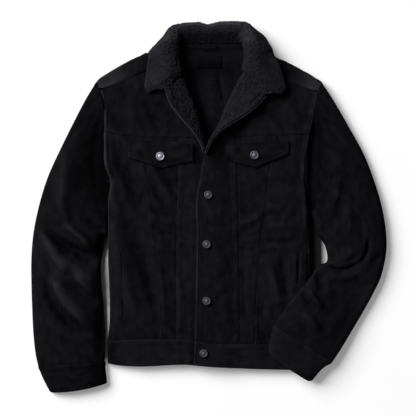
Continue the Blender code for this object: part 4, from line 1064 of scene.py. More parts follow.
def shoulder(name, seam, is_left):
    """The strip between the shoulder fold and the seam, on rows of the body's rings."""
    away, end = (-1, 0) if is_left else (1, 1)
    y = np.concatenate([np.arange(seam[0][0] + 4, 262, 1.1), np.arange(262, 331.5, 2.3)])[:, None]
    seam_x = curve(seam, y) + away * HALF_GAP
    slant = lean(line_of(seam), y)
    ring = body_ring(y)
    edge_x = ring["left" if is_left else "right"] - away * corner_radii(ring)[end]
    width = np.maximum(np.abs(edge_x - seam_x), 0.4)
    lines = np.array(LAP_LINES)
    close = lines * slant * np.minimum(1, 0.8 * width / (lines[-1] * slant))
    rest = close[:, -1:] + (width - close[:, -1:]) * np.linspace(0, 1, 9)[1:]
    inset = np.concatenate([close, rest], 1)
    at = body_at(seam_x + away * inset, np.broadcast_to(y, inset.shape))
    at[:, -1] = end
    turn = SIDE_LINES[::-1] if is_left else 1 - SIDE_LINES[::-1]
    beyond = (len(y), turn.size)
    at = np.concatenate([at, np.broadcast_to(turn, beyond)], 1)
    y = np.broadcast_to(y, at.shape)
    point, normal, inward = body_skin(at, y, True, False)
    x = point[..., 0]
    gaps = {"left": np.concatenate([inset / slant, np.full(beyond, 30.0)], 1)}
    lie = front_lie(x, y)
    detail, wear_and_painted_light = edge_relief(gaps, {"left": "lap"}, 17, x, y)
    # Painted highlight growing towards the shoulder's fold, most on the left, which faces the
    # light; and painted light and shade on the creases.
    pile_and_painted_light = np.clip((0.027 if is_left else 0.019) * (np.abs(x) - 140) - 0.3, -0.35, 0.95)
    return cloth(name, point + normal * (lie + detail)[..., None], point + inward * FRONT_WALL,
                 point[..., :2], wear_and_painted_light + 0.06 * lie + pile_and_painted_light, corduroy, sherpa)


yokes = {}
for side, seam, roll, pile, flat, area in (
        ("left", LEFT_SHOULDER_SEAM, LEFT_ROLL, -0.03, (0.21, 0.155), 0.0235),
        ("right", RIGHT_SHOULDER_SEAM, RIGHT_ROLL, 0.27, (0.205, 0.15), 0.0215)):
    yokes[side] = yoke(f"chest_yoke_{side}", seam, roll, side == "left", pile)
    sewn(yokes[side])
for side, seam in (("left", LEFT_SHOULDER_SEAM), ("right", RIGHT_SHOULDER_SEAM)):
    sewn(shoulder(f"shoulder_{side}", seam, side == "left"))

# ---------------------------------------------------------------------------------------
# The sleeves and cuffs: one tube of corduroy on each side, with a quilted lining, laid
# flat and creased at the elbow.  The right forearm is bent over the body.  Each cuff is a
# two-ply band, its ribs running round the wrist.
SLEEVE_WALL = 5.0
SLEEVE_POWER = (2.6, 5.0)   # of the sleeve on the floor, and of the forearm over the body
SLEEVE_CREASE = 1.6         # how much deeper the sleeves' creases are than their table says
ROUND_PITCH = 3.6           # from line to line round a tube
SOLE_LIE = 0.3              # the sole's share of the upper cloth's creases
ARMHOLE_GAP = 0.1
PRESS = 0.8                 # how far a sleeve is pressed against the body's side
PRESS_Y = {True: (-72.0, -46.0), False: (-24.0, 6.0)}   # where it leaves the side, per side
SLEEVE_COLUMNS = ("out_x", "out_y", "in_x", "in_y", "height", "side", "armhole", "over")
LEFT_SLEEVE = (
    (-231.5, 258, -203, 47, 26, 20, 1, 0),
    (-254, 221, -206, 34, 27, 19, 0.75, 0),
    (-279.5, 172.5, -209.5, 18, 28, 18, 0.45, 0),
    (-305.5, 120, -210.5, 0, 29, 18, 0.2, 0),
    (-332.5, 60, -210.5, -26, 30, 18, 0, 0),
    (-353, -10, -210, -57, 30, 18, 0, 0),
    (-362, -59, -217, -88, 30, 18, 0, 0),
    (-365.5, -104, -222.5, -116, 29, 18, 0, 0),
    (-365.5, -153, -221.5, -157, 29, 18, 0, 0),
    (-364, -206, -217, -202, 28, 17, 0, 0),
    (-361.5, -258, -214.5, -254, 27, 16, 0, 0),
    (-357, -301, -214.5, -293, 26, 15, 0, 0),
    (-352, -325.5, -214.5, -316, 24, 14, 0, 0),
)
LEFT_CUFF = (
    (-352, -325.7, -214.5, -316.2, 24, 14, 0, 0),
    (-342.5, -350, -212.5, -338, 22, 14, 0, 0),
    (-327, -380.5, -209.5, -361, 20, 13, 0, 0),
)
RIGHT_SLEEVE = (
    (228.5, 258, 196, 46, 26, 20, 1, 0),
    (254, 220, 199, 28, 27, 19, 0.75, 0),
    (287, 163.5, 203, 10, 28, 18, 0.45, 0),
    (315, 113, 207, -8, 29, 18, 0.2, 0),
    (336.5, 60, 215.5, -32, 30, 18, 0, 0),
    (354.5, 0, 222.5, -57, 30, 18, 0, 0),
    (363, -53, 238, -81, 30, 18, 0, 0),
    (362.5, -98, 240.5, -112, 29, 18, 0, 0),
    (353, -141, 223, -118.5, 28, 18, 0, 0.3),
    (337.5, -175, 209.5, -139, 27, 17, 0, 0.7),
    (316, -214.5, 188, -164.5, 26, 16, 0, 1),
    (291.5, -255.5, 161, -197, 25, 15, 0, 1),
    (268, -294, 143, -224, 24, 14, 0, 1),
    (252.5, -317, 131, -239.5, 23, 14, 0, 1),
)
RIGHT_CUFF = (
    (252.3, -317.2, 130.9, -239.7, 23, 14, 0, 1),
    (231, -331.5, 125.5, -266, 21, 13.5, 0, 1),
    (209, -357.5, 119, -293.5, 19, 13, 0, 1),
)
CUFF_BOW = 5.0
OVER_GAP = 1.2
OVER_FALL = 100.0
HEM_FALL = (4.0, 40.0)
LEFT_SLEEVE_CREASES = (
    (-206, 200, -210, 90, -206, -20, -6.5, 8, 44),
    (-297, 117, -299, 52, -302, -24, 6.4, 18, 10),
    (-318, 97, -330, 35, -335, -14, -2.5, 8, 9),
    (-245, 148, -253, 76, -257, 15, -1.0, 14, 14),
    (-346, -26, -302, -72, -228, -104, -9.5, 8, 11),
    (-275, -96, -255, -107, -232, -120, -4, 6, 7),
    (-298, -36, -268, -57, -239, -88, 9, 9, 7),
    (-351, -24, -320, -84, -292, -133, 9.5, 15, 14),
    (-306, -112, -268, -130, -218, -160, 6.5, 19, 21),
    (-251, -22, -234, -40, -210, -49, -3.5, 7, 7),
    (-216, -53, -220, -75, -222, -106, -8, 9, 8),
    (-296, -152, -258, -174, -222, -206, -3.2, 8, 11),
    (-278, -142, -254, -161, -232, -190, 4.6, 13, 7),
    (-325, -141, -293, -190, -236, -250, 9.5, 17, 14),
    (-335, -137, -306, -213, -243, -258, -7.5, 9, 12),
    (-327, -235, -298, -260, -249, -272, 2, 9, 10),
    (-306, 25, -294, -16, -286, -43, 2, 9, 9),
    (-228, 179, -236, 97, -228, 35, -2, 8, 8),
    (-216, -192, -219, -241, -221, -317, -4.5, 7, 12),
)
RIGHT_SLEEVE_CREASES = (
    (217, 195, 211, 80, 211, -30, -12, 28, 8),
    (241, -116, 270, -127, 307, -113, -5.5, 3.6, 3.4),
    (305, -114, 321, -94, 324, -61, -4.5, 3.4, 3.8),
    (239, -137, 276, -143, 311, -129, 3, 6, 8),
    (253, -100, 272, -104, 297, -88, 2, 8, 7),
    (329, -110, 340, -106, 352, -96, -1.5, 6, 7),
    (219, -131, 225, -151, 233, -174, -6, 10, 8),
    (200, -161, 217, -188, 233, -207, 5.4, 4, 6),
    (188, -172, 203, -192, 219, -210, -4, 6, 9),
    (190, -219, 208, -229, 226, -258, 4.6, 5, 7),
    (206, -149, 167, -194, 135, -233, 1.4, 2.4, 2.4),
    (231, -129, 239, -153, 247, -182, 2, 7, 8),
    (215, -4, 223, -22, 231, -45, 3, 6, 7),
    (253, 48, 270, 62, 290, 11, -2.5, 12, 11),
    (278, 21, 258, -14, 233, -49, -2.2, 12, 12),
    (260, 39, 262, 25, 253, 9, 2.2, 6, 6),
    (280, 5, 288, -30, 276, -67, 2, 7, 8),
    (303, -10, 311, -43, 313, -75, -1.8, 7, 8),
    (231, 138, 227, 76, 223, 15, -2, 8, 8),
    (260, 117, 268, 76, 260, 35, 1.5, 10, 10),
    (278, -190, 260, -231, 239, -272, 1.5, 12, 12),
)
TURN_LINES = np.linspace(-1, 0, 9)
LEFT_UNEVEN = ((0.45, 0.5, -0.5, 22, 46, 31), (0.9, 0, 0, 60, 80, 32))
RIGHT_UNEVEN = ((0.4, -0.5, 0.5, 22, 46, 33), (0.9, 0, 0, 60, 80, 34))
CUFF_UNEVEN = ((0.6, 0, 0, 30, 40, 35),)
# Patches of painted light and shade on the sleeves: painted shade down the inner half of the
# left upper sleeve, which turns away from the light, and along its forearm's inner edge,
# lighter again near its cuff, painted light on both forearms, most along the right one's outer
# edge, and painted shade on the right upper sleeve.
LEFT_SIDE, RIGHT_SIDE = (-1, 0, 0, 1), (1, 0, 0, 1)
OUTER_EDGE = (0.863, -0.505, 336, 34)
INNER_EDGE = ((1, 0, -232, 12), (0, -1, 186, 20))
FOREARM = ((1, 0, 150, 20), (0, -1, 110, 60))
SLEEVE_LIGHT_AND_SHADE = (
    (-0.28, LEFT_SIDE, (1, 0, -300, 40), (0, 1, -20, 70)),
    (0.2, LEFT_SIDE, (0, -1, 30, 30), (0, 1, -270, 60)),
    (-0.3, LEFT_SIDE, *INNER_EDGE),
    (0.21, LEFT_SIDE, *INNER_EDGE, (0, -1, 270, 40)),
    (0.12, *FOREARM),
    (0.65, *FOREARM, OUTER_EDGE),
    (-0.1, (1, 0, 150, 20), (0, 1, -100, 40)),
)
# Painted light and shade on the cuffs: painted light on the right cuff, most along its outer edge,
# and painted shade on the left cuff, most on its inner part.
CUFF_LIGHT_AND_SHADE = (
    (0.45, (1, 0, 0, 50)),
    (0.4, RIGHT_SIDE, OUTER_EDGE),
    (-0.18, LEFT_SIDE),
    (-0.8, LEFT_SIDE, (1, 0, -256, 32)),
)


def body_top(x, y, lifted):
    """Height of the front's plain skin."""
    return body_point(body_at(x, y), y, True, lifted)[..., 2]


def support(x, y):
    """Height of what the right forearm lies on: the body, then a soft fall to the floor."""
    ring = body_ring(y)
    right = ring["right"]
    inside = np.minimum(x, right - ring["side"] / 2)
    on_body = body_top(inside, y, True) + OVER_GAP
    past_hem = (HEM_LINE[-1][1] - HEM_FALL[0] - y) / HEM_FALL[1]
    share = np.clip((x - right) / OVER_FALL, 0, 1)
    return on_body * (1 - (share + soft_step(share)) / 2) * (1 - soft_step(past_hem))


def distance_along(points, axis=0):
    """Distances along lines of points, from the first of each."""
    steps = np.linalg.norm(np.diff(points, axis=axis), axis=-1)
    return np.insert(np.cumsum(steps, axis), 0, 0, axis)


def curves_along(table, names, spine, lines):
    """Every column of a table as a smooth curve over the distance along a spine, by name, at
    the stations that lines(length) gives; and their distances."""
    place = distance_along(spine)
    share, offset = lines(place[-1])
    at = share * place[-1] + offset
    return {name: curve(zip(place, column), at)[:, None]
            for name, column in zip(names, table.T)}, at


def armhole_shift(share, ring, is_left):
    """How far the body's side lies from the straight line between the ends of a tube's first
    ring, at that share of the way from its outer end."""
    out_x, out_y, in_x, in_y = (ring[name][0] for name in ("out_x", "out_y", "in_x", "in_y"))
    side = body_ring(out_y + share * (in_y - out_y))["left" if is_left else "right"]
    return side - (out_x + share * (in_x - out_x))


def tube(name, rows, is_left, wall, lines, lie, kinds, brushed, seed, bow=0.0,
         across_lay=False):
    """A laid tube, all round: an arch above and its flat sole below, joined at the folds.
    lie(x, y) is the lie of the upper cloth; the sole gets a shallower one pushed inwards."""
    away = -1 if is_left else 1
    table = np.array(rows, float)
    ring, along_tube = curves_along(table, SLEEVE_COLUMNS, (table[:, :2] + table[:, 2:4]) / 2,
                                    lines)
    along = along_tube[:, None]
    side = ring["side"]
    touched = body_ring(ring["in_y"])["left" if is_left else "right"] - away * PRESS
    low, high = PRESS_Y[is_left]
    pressed = soft_step((ring["in_y"] - low) / (high - low)) * soft_step((70 - ring["in_y"]) / 20)
    ring["in_x"] = ring["in_x"] + pressed * (touched - ring["in_x"])
    run_x, run_y = ring["in_x"] - ring["out_x"], ring["in_y"] - ring["out_y"]
    width = np.hypot(run_x, run_y)
    flat_lines = np.linspace(0, 1, max(12, round(width.mean() / ROUND_PITCH)))[1:-1]
    over = np.concatenate([TURN_LINES, flat_lines, 1 - TURN_LINES[::-1]])
    at = np.concatenate([over, over[-2:0:-1]])[None, :]
    upper = np.arange(at.size)[None, :] < over.size
    power = SLEEVE_POWER[0] + ring["over"] * (SLEEVE_POWER[1] - SLEEVE_POWER[0])
    across, up = arch(width, ring["height"], side, side / 2, side / 2, at, upper, power)
    share = across / width
    push = bow * soft_step(along / along_tube[-1]) * 4 * share * (1 - share)
    x = (ring["out_x"] + share * run_x + ring["armhole"] * armhole_shift(share, ring, is_left)
         - away * push * run_y / width
         + away * ARMHOLE_GAP * ring["armhole"] * soft_step(1 - along / 30))
    y = ring["out_y"] + share * run_y - push * np.abs(run_x) / width
    base = ring["over"] * support(x, y)
    point = np.stack([x, y, up + base], -1)
    around = np.roll(point, -1, 1) - np.roll(point, 1, 1)
    normal = unit(np.cross(around, np.gradient(point, axis=0)))
    normal = normal * np.sign(normal[:, :over.size, 2].mean())
    lift = (lie(x, y) * np.clip(normal[..., 2] * 1.4, 0, 1)
            - SOLE_LIE * np.abs(lie(x + 9, y - 12)) * np.clip(-normal[..., 2], 0, 1))
    gaps = {"top": along + 0 * at, "bottom": along_tube[-1] - along + 0 * at,
            "left": np.full(x.shape, 60.0)}
    detail, wear_and_painted_light = edge_relief(gaps, kinds, seed, x, y)
    on_sole = ~upper & (np.abs(normal[..., 2]) > 0.7)
    detail = np.where(on_sole, np.minimum(detail, 0.0), detail)
    upward = np.where(upper, 1.0, -1.0)[..., None] * UP
    outer = point + upward * lift[..., None] + normal * detail[..., None]
    lowest = base + np.where(upper, np.minimum(0.35 * side, up), 0)
    outer[..., 2] = np.maximum(outer[..., 2], lowest)
    inner = point + upward * np.minimum(lift, 1.0)[..., None] - normal * wall
    round_lay = distance_along(np.concatenate([point, point[:, :1]], 1), 1)
    round_lay = round_lay - round_lay[:, over.size // 2][:, None]
    long_lay = np.broadcast_to(along, round_lay.shape)
    lay = np.stack([long_lay, round_lay] if across_lay else [round_lay, long_lay], -1)
    # The tone: painted light on ridges and painted shade in troughs, the edges' wear and painted
    # light, and the patches of painted light and shade given as brushed.
    tone = np.clip(lift * 0.055, -0.6, 0.6) + 0.4 * wear_and_painted_light + soft_patches(x, y, brushed)
    return cloth(name, outer, inner, lay, tone, corduroy, sherpa, loop=True)


def sleeve_lines(length):
    """Rings along a sleeve: close at the armhole and at the cuff."""
    return stations(TUCK_LINES, TUCK_LINES, length, ROUND_PITCH)


def cuff_lines(length):
    """Rings along a cuff: close at its stitched top and its folded end."""
    return stations(LAP_LINES, LAP_LINES[:11], length, 3.0)


for side, sleeve_rows, cuff_rows, crease_rows, uneven, rests_on in (
        ("left", LEFT_SLEEVE, LEFT_CUFF, LEFT_SLEEVE_CREASES, LEFT_UNEVEN, ["floor"]),
        ("right", RIGHT_SLEEVE, RIGHT_CUFF, RIGHT_SLEEVE_CREASES, RIGHT_UNEVEN,
         [fronts["front_side_right"], hem_front_right])):
    sleeve = tube(f"sleeve_{side}", sleeve_rows, side == "left", SLEEVE_WALL, sleeve_lines,
                  lie_of(crease_rows, uneven, SLEEVE_CREASE), {"top": "tuck", "bottom": "tuck"},
                  SLEEVE_LIGHT_AND_SHADE, 31)
    sewn(sleeve,
         nodes=[f"sleeve_upper_{side}", f"sleeve_under_{side}"])
    cuff = tube(f"cuff_{side}", cuff_rows, side == "left", BAND_WALL, cuff_lines,
                lie_of((), CUFF_UNEVEN), {"top": "lap", "bottom": "fold"}, CUFF_LIGHT_AND_SHADE, 33,
                CUFF_BOW, True)
    sewn(cuff,
         nodes=[f"cuff_top_{side}", f"cuff_under_{side}"])

# ---------------------------------------------------------------------------------------
# The lapels: each front turned out along its roll line.  The sherpa facing shows, and the
# corduroy behind it is rolled over the free edge as a narrow rim.
LAPEL_COLUMNS = ("edge_x", "edge_y", "roll_x", "roll_y")
LEFT_LAPEL = (
    (-91.5, 241.5, -62.5, 281),
    (-83, 214, -46, 250.5),
    (-68.5, 192, -36.5, 226),
    (-52, 172.5, -27.5, 201.5),
    (-35, 153, -17.5, 173),
    (-23.3, 136, -11, 145),
    (-15.8, 119.5, -8.5, 125.5),
    (-12.5, 109, -8.5, 111),
)
RIGHT_LAPEL = (
    (118, 224.5, 72, 281.5),
    (93.5, 199.5, 54.5, 250.5),
    (69, 181, 42.5, 226),
    (46.5, 167.5, 31, 201.5),
    (26, 154.5, 20, 173.5),
    (9.3, 138, 3.5, 144.5),
    (0.8, 121, -5.5, 125.5),
    (-5.6, 107, -10.4, 109.5),
)
LAPEL_SHELL = 2.2
LAPEL_RIM = 7.4
LAPEL_RIM_WIDTH = 4.4
LAPEL_SHELL_SHORT = 10.0
LAPEL_FACING = 5.0
LAPEL_CLEAR = 0.8
LAPEL_GAP = 0.4
LAPEL_ROLL_RADIUS = 8.0
LAPEL_ROLL_DROP = 4.0
LAPEL_STITCH = (16.0, 38.0)     # a stitched row: how far from the edge, and how long
# For each side: how far the free edge stands up, how far it is raised where the collar meets
# it, the pile of the rim, lightened as a painted highlight, most on the left, which faces the
# light, the facing's curls and its pile, darkened as painted shade, most on the left facing.
LAPEL_LOOKS = {"left": (6.0, 5.5, 1.25, 1.7, -0.46), "right": (10.0, 0.0, 0.7, 0.9, -0.22)}


def rounding(gap, radius, least):
    """The rise of a rounded edge: a quarter circle from least to 1 over the radius."""
    return np.sqrt(np.clip(1 - (1 - np.minimum(gap / radius, 1)) ** 2, least, 1))


def lapel_lines(length):
    """Rows down a lapel: close at the notch and at the first button."""
    return stations((0, 0.6, 1.4, 2.4, 3.6), (0, 0.8, 1.8), length, 1.5)


def front_top(x, y, lifted):
    """Height of the creased front."""
    return body_top(x, y, lifted) + front_lie(x, y)


def lapel(side, rows):
    """The shell and the facing of one lapel, on rows from the notch down to the first button
    and columns from the free edge to the roll line."""
    lifted, gorge, rim_pile_and_highlight, curliness, facing_pile_and_shade = LAPEL_LOOKS[side]
    table = np.array(rows, float)
    row, down = curves_along(table, LAPEL_COLUMNS, table[:, :2], lapel_lines)
    down = down[:, None]
    run_x, run_y = row["roll_x"] - row["edge_x"], row["roll_y"] - row["edge_y"]
    width = np.hypot(run_x, run_y)

    def spot(share):
        return row["edge_x"] + share * run_x, row["edge_y"] + share * run_y

    below = front_top(*spot(np.linspace(-0.05, 1, 12)), side == "right").max(axis=1)
    kernel = np.hanning(13)
    smooth = np.convolve(np.pad(below, 6, mode="edge"), kernel / kernel.sum(), mode="valid")
    base = np.maximum(smooth, below)[:, None] + LAPEL_CLEAR
    at_notch = rounding(down, 2.4, 0.6)

    def place_on(across, up):
        x, y = spot(across / width)
        away = (0.5 + 0.5 * soft_step(down / 30)) * soft_step(width / 30)
        stands = lifted * soft_step(1 - across / width) * away
        met = gorge * (1 - soft_step(down / 35))
        return np.stack([x, y, base + stands + met + up], -1)

    rim = np.minimum(LAPEL_RIM_WIDTH, 0.42 * width)
    turn = np.radians(np.linspace(-40, 180, 15))
    bead = rim / 2 - rim / 2 * np.cos(turn)
    reach = np.maximum(width - LAPEL_SHELL_SHORT, rim + 1)
    flat = rim + (reach - rim) * np.linspace(0.05, 1, 8)
    across = np.concatenate([bead, flat], 1)
    up = np.concatenate([LAPEL_RIM / 2 * (1 + np.sin(turn) * at_notch), LAPEL_SHELL + 0 * flat], 1)
    under = np.concatenate([rim / 2 + 0 * bead, flat], 1)
    shell = cloth(f"lapel_shell_{side}", place_on(across, up), place_on(under, 0.1 + 0 * up),
                  np.stack([across, down + 0 * across], -1),
                  np.concatenate([rim_pile_and_highlight + 0 * bead, 0 * flat], 1), corduroy)

    radius = np.minimum(LAPEL_ROLL_RADIUS, 0.4 * width)
    low = LAPEL_SHELL + LAPEL_GAP
    high = low + LAPEL_FACING * (0.35 + 0.65 * at_notch)
    quarter = np.radians(np.linspace(0, 90, 12))
    start = rim * 0.86
    flat = start + (width - radius - start) * np.linspace(0, 1, 30)[:-1]
    soft_edge = rounding(flat - start, 3.0, 0.02)
    end_up = high - radius - LAPEL_ROLL_DROP
    across = np.concatenate([flat, width - radius + radius * np.sin(quarter), width], 1)
    outer = place_on(across, np.concatenate([low + 1.2 + (high - low - 1.2) * soft_edge,
                                             high - radius + radius * np.cos(quarter), end_up], 1))
    inner_radius = 0.35 * radius
    under = width - radius + inner_radius * np.append(np.sin(quarter), 1)
    under_up = high - LAPEL_FACING - inner_radius + inner_radius * np.cos(quarter)
    inner = place_on(np.concatenate([flat, under], 1),
                     np.concatenate([low + 0 * flat, under_up, end_up], 1))
    normal = unit(np.cross(np.gradient(outer, axis=1), np.gradient(outer, axis=0)))
    normal = normal * np.sign(normal[..., 2].mean())
    rise, tone = curls(outer, 51 if side == "left" else 53)
    keep = np.concatenate([soft_edge, 1 + 0 * width * quarter, 0.4 + 0 * width], 1)
    keep = np.minimum(1, keep) * soft_step(down / 6 + 0.5)
    from_edge, length = LAPEL_STITCH
    sewn_row = (bell(across - from_edge, 1.7) * soft_step((down - 3) / 3)
                * soft_step((length - down) / 4))
    outer = outer + normal * (rise * curliness * keep - 1.6 * sewn_row)[..., None]
    lay = np.stack([np.cumsum(np.full(tone.shape, 1.5), 1), np.broadcast_to(down, tone.shape)], -1)
    # The facing's tone: painted light where the left lapel meets the collar, against the wing's
    # shadow, painted shade in the stitched row, and painted shade between the curls.
    tone = (tone + facing_pile_and_shade + gorge / 10 * (1 - soft_step(down / 34))
            + 0.12 * (curliness - 1) * rise - 0.6 * sewn_row)
    return shell, cloth(f"lapel_facing_{side}", outer, inner, lay, tone, sherpa)


for side, rows in (("left", LEFT_LAPEL), ("right", RIGHT_LAPEL)):
    shell, facing = lapel(side, rows)
    sewn(shell)
    sewn(facing)

# ---------------------------------------------------------------------------------------
# The collar: one piece of sherpa, both faces, folded at its roll into the fall and the
# stand.  Its wings lie on the yokes and it stands round the back of the neck.
COLLAR_WALL = 7.0
COLLAR = (
    ((-126, 231.5, 34), (-107, 238.5, 36), (-95, 241.5, 39), (-82, 246, 41), (-82, 246, 33)),
    ((-133.5, 246.5, 35), (-113.5, 250.5, 39), (-89, 257, 45), (-68.5, 261, 43), (-68.5, 261, 34)),
    ((-129.5, 275, 33), (-107.5, 275, 38), (-76.5, 275, 50), (-56, 276, 43), (-55, 276, 31)),
    ((-125, 306, 40), (-105.5, 305, 43), (-78.5, 302, 54), (-62, 302, 45), (-60, 302, 30)),
    ((-126, 317, 31), (-113, 322, 40), (-85, 325, 54), (-64, 324.5, 45), (-60, 325, 30)),
    ((-119, 322, 13), (-116, 328, 26), (-88, 331, 53), (-65, 332, 45), (-59, 331, 27)),
    ((-105, 318, 0), (-112, 331, 11), (-89, 337, 51), (-64, 339, 44), (-57, 336, 25)),
    ((-74.5, 308, 0), (-98, 344, 6), (-83, 351, 45), (-63, 353, 41), (-52, 336, 23)),
    ((-44, 308, 0), (-73, 366, 4), (-74, 371, 32), (-60, 366.5, 38), (-41, 335, 22)),
    ((-19, 308, 0), (-25.5, 366, 1), (-27.5, 378.5, 21), (-25, 371, 34), (-21, 335, 21.5)),
    ((-3, 308, 0), (-3, 362, 1), (-3, 374.5, 20), (-3, 367, 34), (-3, 335, 21.5)),
    ((22, 308, 0), (26, 366, 1), (26, 380, 21), (24, 372, 34), (20, 335, 21.5)),
    ((46.5, 308, 0), (67, 370, 4), (76, 377, 32), (65, 369.5, 38), (43.5, 335, 22)),
    ((77, 308, 0), (110, 351, 6), (87.5, 357, 45), (68, 353, 41), (57, 336, 23)),
    ((106, 316, 0), (123, 334, 11), (95.5, 337, 51), (71, 335, 44), (63, 335, 25)),
    ((126, 320, 13), (127, 327.5, 26), (96, 330, 53), (72, 329, 45), (66, 329, 27)),
    ((132.5, 312, 24), (128, 319, 36), (95.5, 320.5, 54), (73, 320.5, 45), (69, 322, 30)),
    ((141, 298, 40), (123, 300, 44), (93.5, 299, 54), (71, 299.5, 45), (69, 299.5, 32)),
    ((152, 267, 38), (132.5, 273, 43), (97.5, 277, 53), (68, 278.5, 44), (67, 278.5, 34)),
    ((157, 244.5, 41), (138.5, 250.5, 46), (110, 258.5, 51), (85.5, 261, 44), (85.5, 261, 34)),
    ((149, 229.5, 42), (134.5, 230.5, 45), (122, 231, 48), (110, 232, 46), (110, 232, 34)),
)
COLLAR_ROWS = 300
FALL_COLUMNS = 66
STAND_COLUMNS = 20
STAND_ROWS = (2, 18)        # rows of the table between which there is a stand
STAND_GAP = 0.6
STAND_WALL = 5.0
WING_ROWS = 4
WING_CLEAR = 1.2
EDGE_ROUND = 4.0            # how far from its edge the wall is rounded
EDGE_LINES_ACROSS = (0, 0.8, 1.8, 3.0, 4.4)     # lines beside the ends of the wings
FALL_CROWD = 1.12           # how much closer the fall's lines lie at its free edge
ROW_LAY = 20.0              # mm of cloth from one row of the table to the next


def smooth_rows(table, at):
    """Rows between those of a table of points: cubics with mean slopes, row by row."""
    slopes = np.gradient(table, axis=0)
    i = np.clip(np.floor(at).astype(int), 0, len(table) - 2)
    return cubic((at - i)[:, None, None], 1, table[i], table[i + 1], slopes[i], slopes[i + 1])


def across_section(points, shares_fall, shares_stand):
    """Each row's own points joined by cubics over their chord lengths: shares of the fall run
    from the free edge to the roll, shares of the stand from the roll to the neck seam."""
    chord = np.diff(points, axis=1)
    length = np.maximum(np.linalg.norm(chord, axis=-1), 0.5)
    knot = np.insert(np.cumsum(length, 1), 0, 0, 1)
    slope = chord / length[..., None]
    mean = np.concatenate([slope[:, :1], (slope[:, 1:] + slope[:, :-1]) / 2, slope[:, -1:]], 1)
    roll, end = knot[:, 3:4], knot[:, 4:5]
    at = np.concatenate([shares_fall * roll, roll + (end - roll) * shares_stand], 1)
    made = np.zeros(at.shape + (3,))
    for k in range(4):
        span = length[:, k:k + 1]
        t = np.clip((at - knot[:, k:k + 1]) / span, 0, 1)[..., None]
        first, last = slice(k, k + 1), slice(k + 1, k + 2)
        piece = cubic(t, span[..., None], points[:, first], points[:, last], mean[:, first],
                      mean[:, last])
        made = np.where((at >= knot[:, first])[..., None], piece, made)
    return made


collar_table = np.array(COLLAR, float)
row_place = distance_along(collar_table[:, 2])
row_lines, row_offsets = stations(EDGE_LINES_ACROSS, EDGE_LINES_ACROSS, row_place[-1],
                                  row_place[-1] / COLLAR_ROWS)
row_at = np.interp(row_lines * row_place[-1] + row_offsets, row_place, np.arange(len(COLLAR)))
row_of = row_at[:, None]
fall_places = np.linspace(0, 1, FALL_COLUMNS)
stand_places = np.linspace(0, 1, STAND_COLUMNS + 1)
collar_skin = across_section(smooth_rows(collar_table, row_at), fall_places ** FALL_CROWD,
                             stand_places[1:])
collar_skin[..., 2] = np.maximum(collar_skin[..., 2], 0)
collar_normal = unit(np.cross(np.gradient(collar_skin, axis=1), np.gradient(collar_skin, axis=0)))

# The fall: rounded at its edges, its wings resting on the fronts, its curls longest at the roll.
fall_skin, fall_normal = collar_skin[:, :FALL_COLUMNS], collar_normal[:, :FALL_COLUMNS]
from_edge, from_start = distance_along(fall_skin, 1), distance_along(fall_skin)
from_ends = np.minimum(from_start, from_start[-1:] - from_start)
in_gorge = soft_step((fall_places - 0.5) / 0.2)
full = rounding(np.minimum(from_edge, from_ends + EDGE_ROUND * in_gorge), EDGE_ROUND, 0.03)
thin = COLLAR_WALL / 2 * (1 - full)
fall_outer = fall_skin - fall_normal * thin[..., None]
fall_inner = fall_skin - fall_normal * (COLLAR_WALL - thin)[..., None]
for is_right in (False, True):
    part = row_at > len(COLLAR) - WING_ROWS - 0.5 if is_right else row_at < WING_ROWS - 0.5
    lowest = front_top(fall_inner[part, :, 0], fall_inner[part, :, 1], is_right) + WING_CLEAR
    fall_inner[part, :, 2] = np.maximum(fall_inner[part, :, 2], lowest)
    fall_outer[part, :, 2] = np.maximum(fall_outer[part, :, 2], fall_inner[part, :, 2]
                                        + 0.7 * (COLLAR_WALL - 2 * thin[part]))
fall_rise, fall_tone = curls(fall_outer, 61)
curly = 0.5 + 1.2 * soft_step((fall_places - 0.5) / 0.3)
fall_outer = fall_outer + fall_normal * (fall_rise * curly * (0.35 + 0.65 * full))[..., None]
# The fall's tone: painted light on the crown at the back of the neck and at the wings' ends by the
# gorge, painted shade on the right wing and beside the left roll, and painted shade between the
# curls.
behind = soft_step((fall_outer[..., 1] - 330) / 12)
at_middle = 1 - 0.7 * soft_step((np.abs(fall_outer[..., 0]) - 52) / 18)
near_left_roll = soft_step((fall_outer[..., 0] + 112) / 22) * (row_of < 6)
fall_tone = (fall_tone + 0.95 * behind * at_middle - 0.18 * (1 - behind) * (row_of > 12)
             - 0.2 * near_left_roll + 0.5 * in_gorge * bell(from_ends, 5)
             + 0.1 * (curly - 1) * (fall_rise - 0.6))
under_rise = curls(fall_inner, 63)[0]
off_floor = soft_step((fall_inner[..., 2] - 3) / 6)
fall_inner = fall_inner - fall_normal * (0.5 * under_rise * full * off_floor)[..., None]
fall_outer[..., 2] = np.maximum(fall_outer[..., 2], 0)
fall_lay = np.stack([from_edge, np.broadcast_to(row_of * ROW_LAY, from_edge.shape)], -1)
collar_fall = cloth("collar_fall", fall_outer, fall_inner, fall_lay, fall_tone, sherpa)
sewn(collar_fall)

# The stand: from the roll down to the neck seam, as thick at the roll as the fall is.
in_stand = (row_at > STAND_ROWS[0]) & (row_at < STAND_ROWS[1])
stand_skin = collar_skin[in_stand, FALL_COLUMNS - 1:].copy()
stand_normal = collar_normal[in_stand, FALL_COLUMNS - 1:]
stand_skin[:, 0] += STAND_GAP * unit(stand_skin[:, 1] - stand_skin[:, 0])
stand_blend = stand_places[:, None]
stand_inner = (stand_skin - (1 - stand_blend) * COLLAR_WALL * stand_normal[:, :1]
               - stand_blend * STAND_WALL * stand_normal[:, -1:])
stand_rise, stand_tone = curls(stand_skin, 61)
fade_in = soft_step(stand_places * 3 + 0.5)
stand_outer = stand_skin + stand_normal * (stand_rise * fade_in * 0.8)[..., None]
stand_lay = np.stack(np.broadcast_arrays(stand_places * 30, row_of[in_stand] * ROW_LAY), -1)
